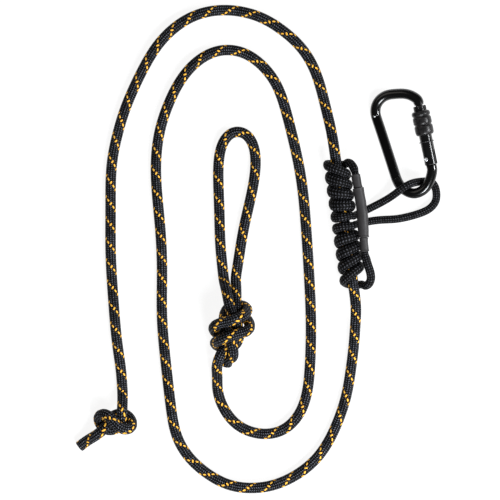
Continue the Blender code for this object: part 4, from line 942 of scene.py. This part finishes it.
print("laying the rope")
ropeLine = ropeRoute(stopper, firstPass, secondPass)
mainRope = braidedTube("mainRope", ropeLine, np.full((len(ropeLine), 2), ropeRadius),
                       np.zeros((len(ropeLine), 3)), rope)
dress(mainRope, ropeSheath, "rope")
mainRope.data.materials.append(meltedEnd)
domeFaces = len(rope["dome"]) * rope["sides"]
wallFaces = len(mainRope.data.polygons) - 2
for face in mainRope.data.polygons:
    if face.index < domeFaces or face.index >= wallFaces - domeFaces:
        face.material_index = 1
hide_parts("stopper_knot_with_tail", "rope_outer_run", "rope_in_hitch",
            "rope_inner_run", "loop_knot_standing_pass", "loop_knot_tail_pass", "eye_loop")

print("winding the hitch")
cordLine, cordSizes, cordOutward = hitchRoute()
hitchCord = braidedTube("hitchCord", cordLine, cordSizes, cordOutward, hitch)
dress(hitchCord, cordSheath, "hitch")
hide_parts("hitch_upper_wraps", "hitch_lower_wraps", "bridge_cord_upper",
            "bridge_cord_lower", "carabiner_bight")

print("fitting the tubing")
tierNodes = ("splice_sleeve_upper", "splice_sleeve_main", "splice_sleeve_lower")
for tier, node in zip(tubingTiers(), tierNodes):
    dress(tier, heatShrink, "hitch")
    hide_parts(node)


# The carabiner, in a frame with Y along its gate, X outwards and Z through its face

carabiner = {
    "bar": 0.0106,
    "barSides": 26,
    "barStep": 0.0013,
    "reach": 0.0461,
    "topRise": 0.0147,
    "footDrop": 0.0236,
    "hingeDepth": 0.0072,
    "spineThickness": 0.0080,
    "spineFlat": 0.066,
    "neck": 0.0096,
    "neckLength": 0.0015,
    "shoulder": 0.0580,
    "tongueThickness": 0.0040,
    "tongueWidth": 0.0068,
    "tongueLength": 0.0050,
    "tongueEdge": 0.0003,
    "notchHeight": 0.0026,
    "notchFloor": 0.0011,
    "tabThickness": 0.0046,
    "tabEdge": 0.00025,
    "edge": 0.0004,
    "lean": 11.5,
    "roll": 15.5,
    "seatGap": 0.0003,
    "pixel": (429.8, 159.5),
}
gate = {
    "diameter": 0.0132,
    "runningGap": 0.00035,
    "rivet": 0.0044,
    "rivetOffset": 0.0031,
    "rivetHeight": 0.0006,
    "rivetCrown": 0.0004,
    "rivetSides": 28,
    "pin": 0.0018,
    "travel": 25.0,
    "plunger": 0.0042,
    "tipHeight": 0.0061,
    "tipRatio": 0.0046,
}
spring = {
    "wire": 0.0007,
    "wireSides": 8,
    "curls": 9,
    "steps": 20,  # in one curl
    "length": 0.020,
    "foot": 0.0134,
    "pressed": 0.895,  # of its length, with the gate open
}
lockSleeveSizes = {
    "diameter": 0.0189,
    "length": 0.0249,
    "foot": 0.0252,
    "grooveDepth": 0.0011,
    "boreEdge": 0.0004,
    "sides": 56,
}
# Across and along the bows, in shares of the reach and of the rise or drop
topBow = [(0, 0), (0.007, 0.218), (0.065, 0.463), (0.163, 0.70), (0.325, 0.898), (0.466, 0.973),
          (0.672, 1.0), (0.842, 0.796), (0.95, 0.442), (1.0, -0.034), (0.991, -0.612)]
footBow = [(0.852, -0.013), (0.794, 0.517), (0.633, 0.898), (0.518, 1.0), (0.388, 0.992),
           (0.249, 0.873), (0.115, 0.602), (0.033, 0.314), (0, 0.076), (0, 0)]
anodised = metalMaterial("anodisedBlack", (0.0010, 0.0010, 0.0011), (0.0022, 0.0022, 0.0025),
                         0.22, 0.0, coat=0.35, spread=0.05, bump=0.06, specular=0.4)
anodisedDull = metalMaterial("anodisedSpine", (0.0010, 0.0008, 0.0009), (0.0022, 0.0018, 0.0020),
                             0.55, 0.0, spread=0.08, bump=0.1, specular=0.06)
barrelMetal = metalMaterial("gateBarrel", (0.003, 0.003, 0.0032), (0.007, 0.007, 0.0075),
                            0.2, 0.1, coat=0.4, spread=0.08, bump=0.06)
sleeveMetal = metalMaterial("lockSleeve", (0.005, 0.0047, 0.005), (0.034, 0.031, 0.032),
                            0.33, 0.3, scale=260.0, spread=0.12, bump=0.5)
ringMetal = metalMaterial("stopRing", (0.05, 0.05, 0.052), (0.09, 0.09, 0.095), 0.4, 0.8)


def barRun():
    reach = carabiner["reach"]
    top = [(-across * reach, carabiner["shoulder"] + rise * carabiner["topRise"], 0.0)
           for across, rise in topBow]
    foot = [(-across * reach, -carabiner["hingeDepth"] - drop * carabiner["footDrop"], 0.0)
            for across, drop in footBow]
    return top + foot, Vector(top[-1]), Vector(foot[0])  # the bar, and the ends of its spine


def carabinerMatrix():
    spineTop, spineFoot = barRun()[1:]
    along = (spineTop - spineFoot).normalized()
    roll = Matrix.Rotation(math.radians(-carabiner["roll"]), 4, along)
    tilted = Matrix.Rotation(math.radians(carabiner["lean"]), 4, "Z") @ roll
    height = carabiner["bar"] / 2 + carabiner["seatGap"] - (tilted @ spineFoot).z
    return Matrix.Translation(onPlan(carabiner["pixel"], height)) @ tilted


def setMode(mode):
    bpy.ops.object.mode_set(mode=mode)


def editAll():
    setMode("EDIT")
    bpy.ops.mesh.select_all(action="SELECT")


def pickItems(*items):
    # The last one becomes the active one
    bpy.ops.object.select_all(action="DESELECT")
    for item in items:
        item.select_set(True)
    bpy.context.view_layer.objects.active = items[-1]


def extrudeBy(*move):
    bpy.ops.mesh.extrude_region_move(TRANSFORM_OT_translate={"value": move})


def changed(item, kind, **values):
    change = item.modifiers.new("change", kind)
    for label, value in values.items():
        setattr(change, label, value)
    bpy.context.view_layer.objects.active = item
    bpy.ops.object.modifier_apply(modifier=change.name)


def startShape(kind, **values):
    bpy.ops.object.select_all(action="DESELECT")
    getattr(bpy.ops.mesh, kind)(**values)
    item = bpy.context.active_object
    bpy.ops.object.transform_apply(location=True, rotation=True, scale=True)
    setMode("EDIT")
    bpy.ops.mesh.select_mode(type="VERT")
    bpy.ops.mesh.select_all(action="SELECT")
    setMode("OBJECT")
    return item


def selectParts(item, mode, test):
    # Back in edit mode, with only the corners or faces that pass the test selected
    setMode("EDIT")
    bpy.ops.mesh.select_mode(type=mode)
    bpy.ops.mesh.select_all(action="DESELECT")
    setMode("OBJECT")
    for part in item.data.vertices if mode == "VERT" else item.data.polygons:
        part.select = bool(test(part))
    setMode("EDIT")


def finishShape(item, name, matrix, angle=32.0):
    editAll()
    bpy.ops.mesh.remove_doubles(threshold=0.000002)
    bpy.ops.mesh.normals_make_consistent(inside=False)
    setMode("OBJECT")
    faceOutward(item.data)
    pickItems(item)
    bpy.ops.object.shade_smooth_by_angle(angle=math.radians(angle))
    item.data.transform(matrix)
    item.name = name
    item.data.name = name
    return item


def testRotateSign():
    # Which way the rotate operator turns
    item = startShape("primitive_plane_add", size=0.002, location=(0.001, 0.0, 0.0))
    editAll()
    bpy.ops.transform.rotate(value=0.5, orient_axis="Z", center_override=(0.0, 0.0, 0.0))
    setMode("OBJECT")
    middle = sum((vertex.co for vertex in item.data.vertices), Vector())
    bpy.data.objects.remove(item)
    return 1.0 if middle.y > 0 else -1.0


def sweptBar():
    rotateSign = testRotateSign()
    curve = smoothCurve(barRun()[0])
    points = respace(curve, int(lengthOf(curve) / carabiner["barStep"]))
    heading = np.gradient(points, axis=0)
    angles = np.unwrap(np.arctan2(heading[:, 1], heading[:, 0]))
    item = startShape("primitive_circle_add", vertices=carabiner["barSides"],
                      radius=carabiner["bar"] / 2, fill_type="NGON", location=points[0],
                      rotation=(math.pi / 2, 0.0, angles[0] + math.pi / 2))
    editAll()
    for place in range(1, len(points)):
        extrudeBy(*(points[place] - points[place - 1]))
        bpy.ops.transform.rotate(value=rotateSign * (angles[place] - angles[place - 1]),
                                 orient_axis="Z", center_override=tuple(points[place]))
    setMode("OBJECT")
    return item


def flattenSpine(item):
    spineTop, spineFoot = barRun()[1:]
    middle = (spineTop + spineFoot) / 2
    along = (spineTop - spineFoot).normalized()
    half = carabiner["spineThickness"] / 2

    def onFlat(vertex):
        spot = vertex.co
        return (side * spot.z > half * 0.975 and spot.x < -carabiner["reach"] / 2
                and abs((spot - middle).dot(along)) < carabiner["spineFlat"] / 2)
    for side in (1, -1):
        selectParts(item, "VERT", onFlat)
        bpy.ops.transform.resize(value=(1.0, 1.0, 0.0), center_override=(0.0, 0.0, side * half))
        setMode("OBJECT")


def noseAndHinge(item):
    # A neck below the shoulder, and a stepped edge round the foot of the hinge tab
    edge = carabiner["edge"]
    for height, way, inset, step in (
            (carabiner["shoulder"], -1, (carabiner["bar"] - carabiner["neck"]) / 2,
             carabiner["neckLength"]), (-carabiner["hingeDepth"], 1, edge, edge)):
        selectParts(item, "FACE", lambda face: way * face.normal.y > 0.9
                    and abs(face.center.x) < 0.001 and abs(face.center.y - height) < 0.0001)
        bpy.ops.mesh.inset(thickness=inset)
        extrudeBy(0.0, way * step, 0.0)
        setMode("OBJECT")


def bevelled(item, width):
    changed(item, "BEVEL", width=width, segments=2, limit_method="ANGLE",
            angle_limit=math.radians(40.0))
    return item


def latchTongue():
    length = carabiner["tongueLength"] + carabiner["neckLength"]
    width, thickness = carabiner["tongueWidth"], carabiner["tongueThickness"]
    foot = carabiner["shoulder"] - carabiner["neckLength"] - carabiner["tongueLength"]
    item = startShape("primitive_cube_add", size=1.0, location=(0.0, foot + length / 2, 0.0),
                      scale=(width, length, thickness))
    reach = gate["pin"] / 2 + gate["runningGap"]
    height = carabiner["notchHeight"]
    middle = foot + carabiner["notchFloor"] + height / 2
    notch = startShape("primitive_cube_add", size=1.0, location=((reach - width) / 2, middle, 0.0),
                       scale=(reach + width, height, thickness * 2))
    changed(item, "BOOLEAN", object=notch, operation="DIFFERENCE")
    bpy.data.objects.remove(notch)
    return bevelled(item, carabiner["tongueEdge"])


def tabOutline():
    # The crown is a cam under the plunger's tip
    hinge = np.array([-gate["rivetOffset"], gate["rivetHeight"]])
    tip = gate["plunger"] / 2
    centres = []
    for degrees in np.linspace(-16.0, gate["travel"] + 8.0, 12):
        angle = math.radians(degrees)
        height = gate["tipHeight"] + gate["tipRatio"] * max(angle, -0.2)
        height = height + tip - gate["rivetHeight"]
        across = gate["rivetOffset"] * math.cos(angle) - height * math.sin(angle)
        along = gate["rivetOffset"] * math.sin(angle) + height * math.cos(angle)
        centres.append(hinge + np.array([across, along]))
    centres = np.array(centres)
    heading = unitRows(np.gradient(centres, axis=0))
    inward = np.stack([-heading[:, 1], heading[:, 0]], axis=1)
    bar = carabiner["bar"]
    side = bar / 2 * 0.94
    crown = [spot for spot in (centres + inward * (tip + carabiner["seatGap"])).tolist()
             if abs(spot[0]) < side]
    foot = -carabiner["hingeDepth"] - bar * 0.2
    return [(side, foot), (side, crown[0][1] - bar * 0.25), *crown,
            (-side, crown[-1][1] - bar * 0.175), (-side, foot)]


def hingeTab():
    outline = tabOutline()
    half = carabiner["tabThickness"] / 2
    item = startShape("primitive_circle_add", vertices=len(outline), radius=0.01, fill_type="NGON")
    for vertex, (across, along) in zip(item.data.vertices, outline):
        vertex.co = (across, along, -half)
    editAll()
    extrudeBy(0.0, 0.0, half * 2)
    bpy.ops.mesh.select_all(action="SELECT")
    bpy.ops.mesh.normals_make_consistent(inside=False)
    setMode("OBJECT")
    return bevelled(item, carabiner["tabEdge"])


def carabinerFrame(matrix):
    item = sweptBar()
    flattenSpine(item)
    noseAndHinge(item)
    pickItems(latchTongue(), hingeTab(), item)
    bpy.ops.object.join()
    return finishShape(item, "carabinerFrame", matrix)


def turnedPiece(profile, sides, ring):
    # A circle extruded and scaled along pairs of radius and height, about local Y
    radius, height = profile[0]
    item = startShape("primitive_circle_add", vertices=sides, radius=radius, fill_type="NOTHING",
                      location=(0.0, height, 0.0), rotation=(math.pi / 2, 0.0, 0.0))
    editAll()
    for after in profile[1:] + (profile[:1] if ring else []):
        extrudeBy(0.0, after[1] - height, 0.0)
        ratio = after[0] / radius
        bpy.ops.transform.resize(value=(ratio, 1.0, ratio), center_override=(0.0, after[1], 0.0))
        radius, height = after
    if not ring:
        bpy.ops.mesh.edge_face_add()
        setMode("OBJECT")
        selectParts(item, "VERT", lambda vertex: abs(vertex.co.y - profile[0][1]) < 1e-6
                    and math.hypot(vertex.co.x, vertex.co.z) < profile[0][0] * 1.01)
        bpy.ops.mesh.edge_face_add()
    setMode("OBJECT")
    return item


def lockSleevePiece(matrix):
    outer, length = lockSleeveSizes["diameter"] / 2, lockSleeveSizes["length"]
    depth, edge = lockSleeveSizes["grooveDepth"], lockSleeveSizes["boreEdge"]
    bore = gate["diameter"] / 2 + gate["runningGap"]
    # Height and depth shares: three rounded ribs with two grooves between
    groove = [(0.095, 0.0), (0.06, 0.10), (0.035, 0.35), (0.015, 0.85), (0.0, 1.0),
              (-0.015, 0.85), (-0.035, 0.35), (-0.06, 0.10), (-0.095, 0.0)]
    upper, lower = [[(middle + up, down) for up, down in groove] for middle in (0.775, 0.425)]
    shares = [(1.0, 2.0), (0.992, 1.35), (0.975, 0.75), (0.945, 0.3), (0.91, 0.06), *upper,
              (0.60, 0.0), *lower, (0.20, 0.0), (0.12, 0.08), (0.07, 0.3), (0.03, 0.8),
              (0.008, 1.35), (0.0, 1.9)]
    profile = [(outer - depth * down, length * up) for up, down in shares]
    profile += [(bore + edge, 0.0), (bore, edge), (bore, length - edge), (bore + edge, length)]
    item = turnedPiece(profile, lockSleeveSizes["sides"], True)
    place = Matrix.Translation((0.0, lockSleeveSizes["foot"], 0.0))
    return finishShape(item, "lockSleeve", matrix @ place, 50.0)


def hingeRivet(matrix):
    radius, crown = gate["rivet"] / 2, gate["rivetCrown"]
    half = math.sqrt((gate["diameter"] / 2) ** 2 - gate["rivetOffset"] ** 2)
    head = [(0.16, -0.55), (0.30, -0.1), (0.36, 0.75), (0.50, 0.90), (0.70, 0.62), (0.88, 0.1),
            (1.0, -0.9)]
    upper = [(radius * out, half + crown * up) for out, up in head]
    lower = [(out, -up) for out, up in upper[::-1]]
    item = turnedPiece(upper + lower, gate["rivetSides"], False)
    place = Matrix.Translation((-gate["rivetOffset"], gate["rivetHeight"], 0.0))
    upright = Matrix.Rotation(math.pi / 2, 4, "X")
    return finishShape(item, "gateRivet", matrix @ place @ upright, 60.0)


def smoothCopy(node, name):
    # The solid's own shape with welded edges
    source = bpy.data.objects[node]
    item = linked(name, source.data.copy())
    item.data.transform(source.matrix_world)
    pickItems(item)
    bpy.ops.mesh.customdata_custom_splitnormals_clear()
    return finishShape(item, name, Matrix.Identity(4), 30.0)


def springPiece(matrix):
    wire = spring["wire"] / 2
    item = startShape("primitive_circle_add", vertices=spring["wireSides"], radius=wire,
                      fill_type="NOTHING",
                      location=(gate["plunger"] / 2 - wire, spring["foot"] + wire, 0.0))
    rise = spring["length"] - 2 * wire
    changed(item, "SCREW", axis="Y", screw_offset=rise / spring["curls"],
            iterations=spring["curls"], steps=spring["steps"], render_steps=spring["steps"])
    editAll()
    bpy.ops.mesh.fill_holes(sides=spring["wireSides"])
    setMode("OBJECT")
    return finishShape(item, "gateSpring", matrix, 50.0)


print("making the carabiner")
carabinerPlace = carabinerMatrix()
frameBar = carabinerFrame(carabinerPlace)
dress(frameBar, anodised, "carabiner")
frameBar.data.materials.append(anodisedDull)
intoFrame = carabinerPlace.inverted()
for face in frameBar.data.polygons:
    spot = intoFrame @ face.center
    offFlat = abs(abs(spot.z) - carabiner["spineThickness"] / 2)
    if spot.x < -carabiner["reach"] / 2 and offFlat < 0.00002:
        face.material_index = 1
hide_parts("carabiner_frame")
lockSleeve = lockSleevePiece(carabinerPlace)
dress(lockSleeve, sleeveMetal, "lock_sleeve")
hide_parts("lock_sleeve")
gateRivet = hingeRivet(carabinerPlace)
dress(gateRivet, brightSteel, "carabiner")
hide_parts("gate_rivet")
gateBarrel = smoothCopy("gate_barrel", "gateBarrel")
dress(gateBarrel, barrelMetal, "gate")
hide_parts("gate_barrel")
gateSpring = springPiece(carabinerPlace)
dress(gateSpring, brightSteel, "gate")
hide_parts("gate_spring")
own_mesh(gateSpring)
for node, material in (("latch_pin", ringMetal), ("gate_plunger", brightSteel),
                       ("sleeve_stop_ring", ringMetal)):
    for slot in bpy.data.objects[node].material_slots:
        slot.material = material


# Camera, floor and light

stage = {
    "floorReach": 6.0,
    "floorHeight": -0.0002,
    "floorTone": 0.22,
    "floorGlow": 0.90,
    "skyLight": 0.06,
    # Place, size, power and colour of each soft light
    "keyLight": ((0.5, -1.15, 1.3), 0.7, 34.0, (0.93, 0.97, 1.0)),
    "sideLight": ((1.5, 0.15, 1.0), 0.35, 18.0, (0.95, 0.98, 1.0)),
    "fillLight": ((-1.2, 1.0, 1.6), 1.4, 4.0, (1.0, 0.93, 0.86)),
}


def makeStage():
    mesh = bpy.data.meshes.new("floor")
    reach = stage["floorReach"]
    corners = [(-reach, -reach, 0), (reach, -reach, 0), (reach, reach, 0), (-reach, reach, 0)]
    mesh.from_pydata(corners, [], [(0, 1, 2, 3)])
    floor = linked("floor", mesh)
    floor.location.z = stage["floorHeight"]
    mesh.materials.append(newMaterial("paleFloor", {
        "Roughness": 0.9, "Base Color": (stage["floorTone"],) * 3, "Specular IOR Level": 0.0,
        "Emission Color": (1.0, 1.0, 1.0), "Emission Strength": stage["floorGlow"]})[0])
    world = bpy.data.worlds.new("studio")
    world.use_nodes = True
    sky = world.node_tree.nodes["Background"].inputs
    feed(sky["Color"], (1.0, 1.0, 1.0))
    feed(sky["Strength"], stage["skyLight"])
    bpy.context.scene.world = world
    for name in ("keyLight", "sideLight", "fillLight"):
        light = bpy.data.lights.new(name, "AREA")
        light.shape = "DISK"
        place, light.size, light.energy, light.color = stage[name]
        item = linked(name, light)
        item.location = place
        item.rotation_euler = (-Vector(place)).to_track_quat("-Z", "Y").to_euler()


def makeCamera():
    lens = bpy.data.cameras.new("camera")
    camera = linked("camera", lens)
    camera.location = onPlan((picture["size"] / 2, picture["size"] / 2),
                             picture["distance"] + picture["sharpHeight"])
    lens.sensor_width = 36.0
    lens.lens = lens.sensor_width * picture["distance"] / (picture["size"] * picture["pixel"])
    lens.clip_end = 50.0
    bpy.context.scene.camera = camera


print("setting up the studio")
bpy.context.scene.view_settings.view_transform = "Standard"
makeStage()
makeCamera()
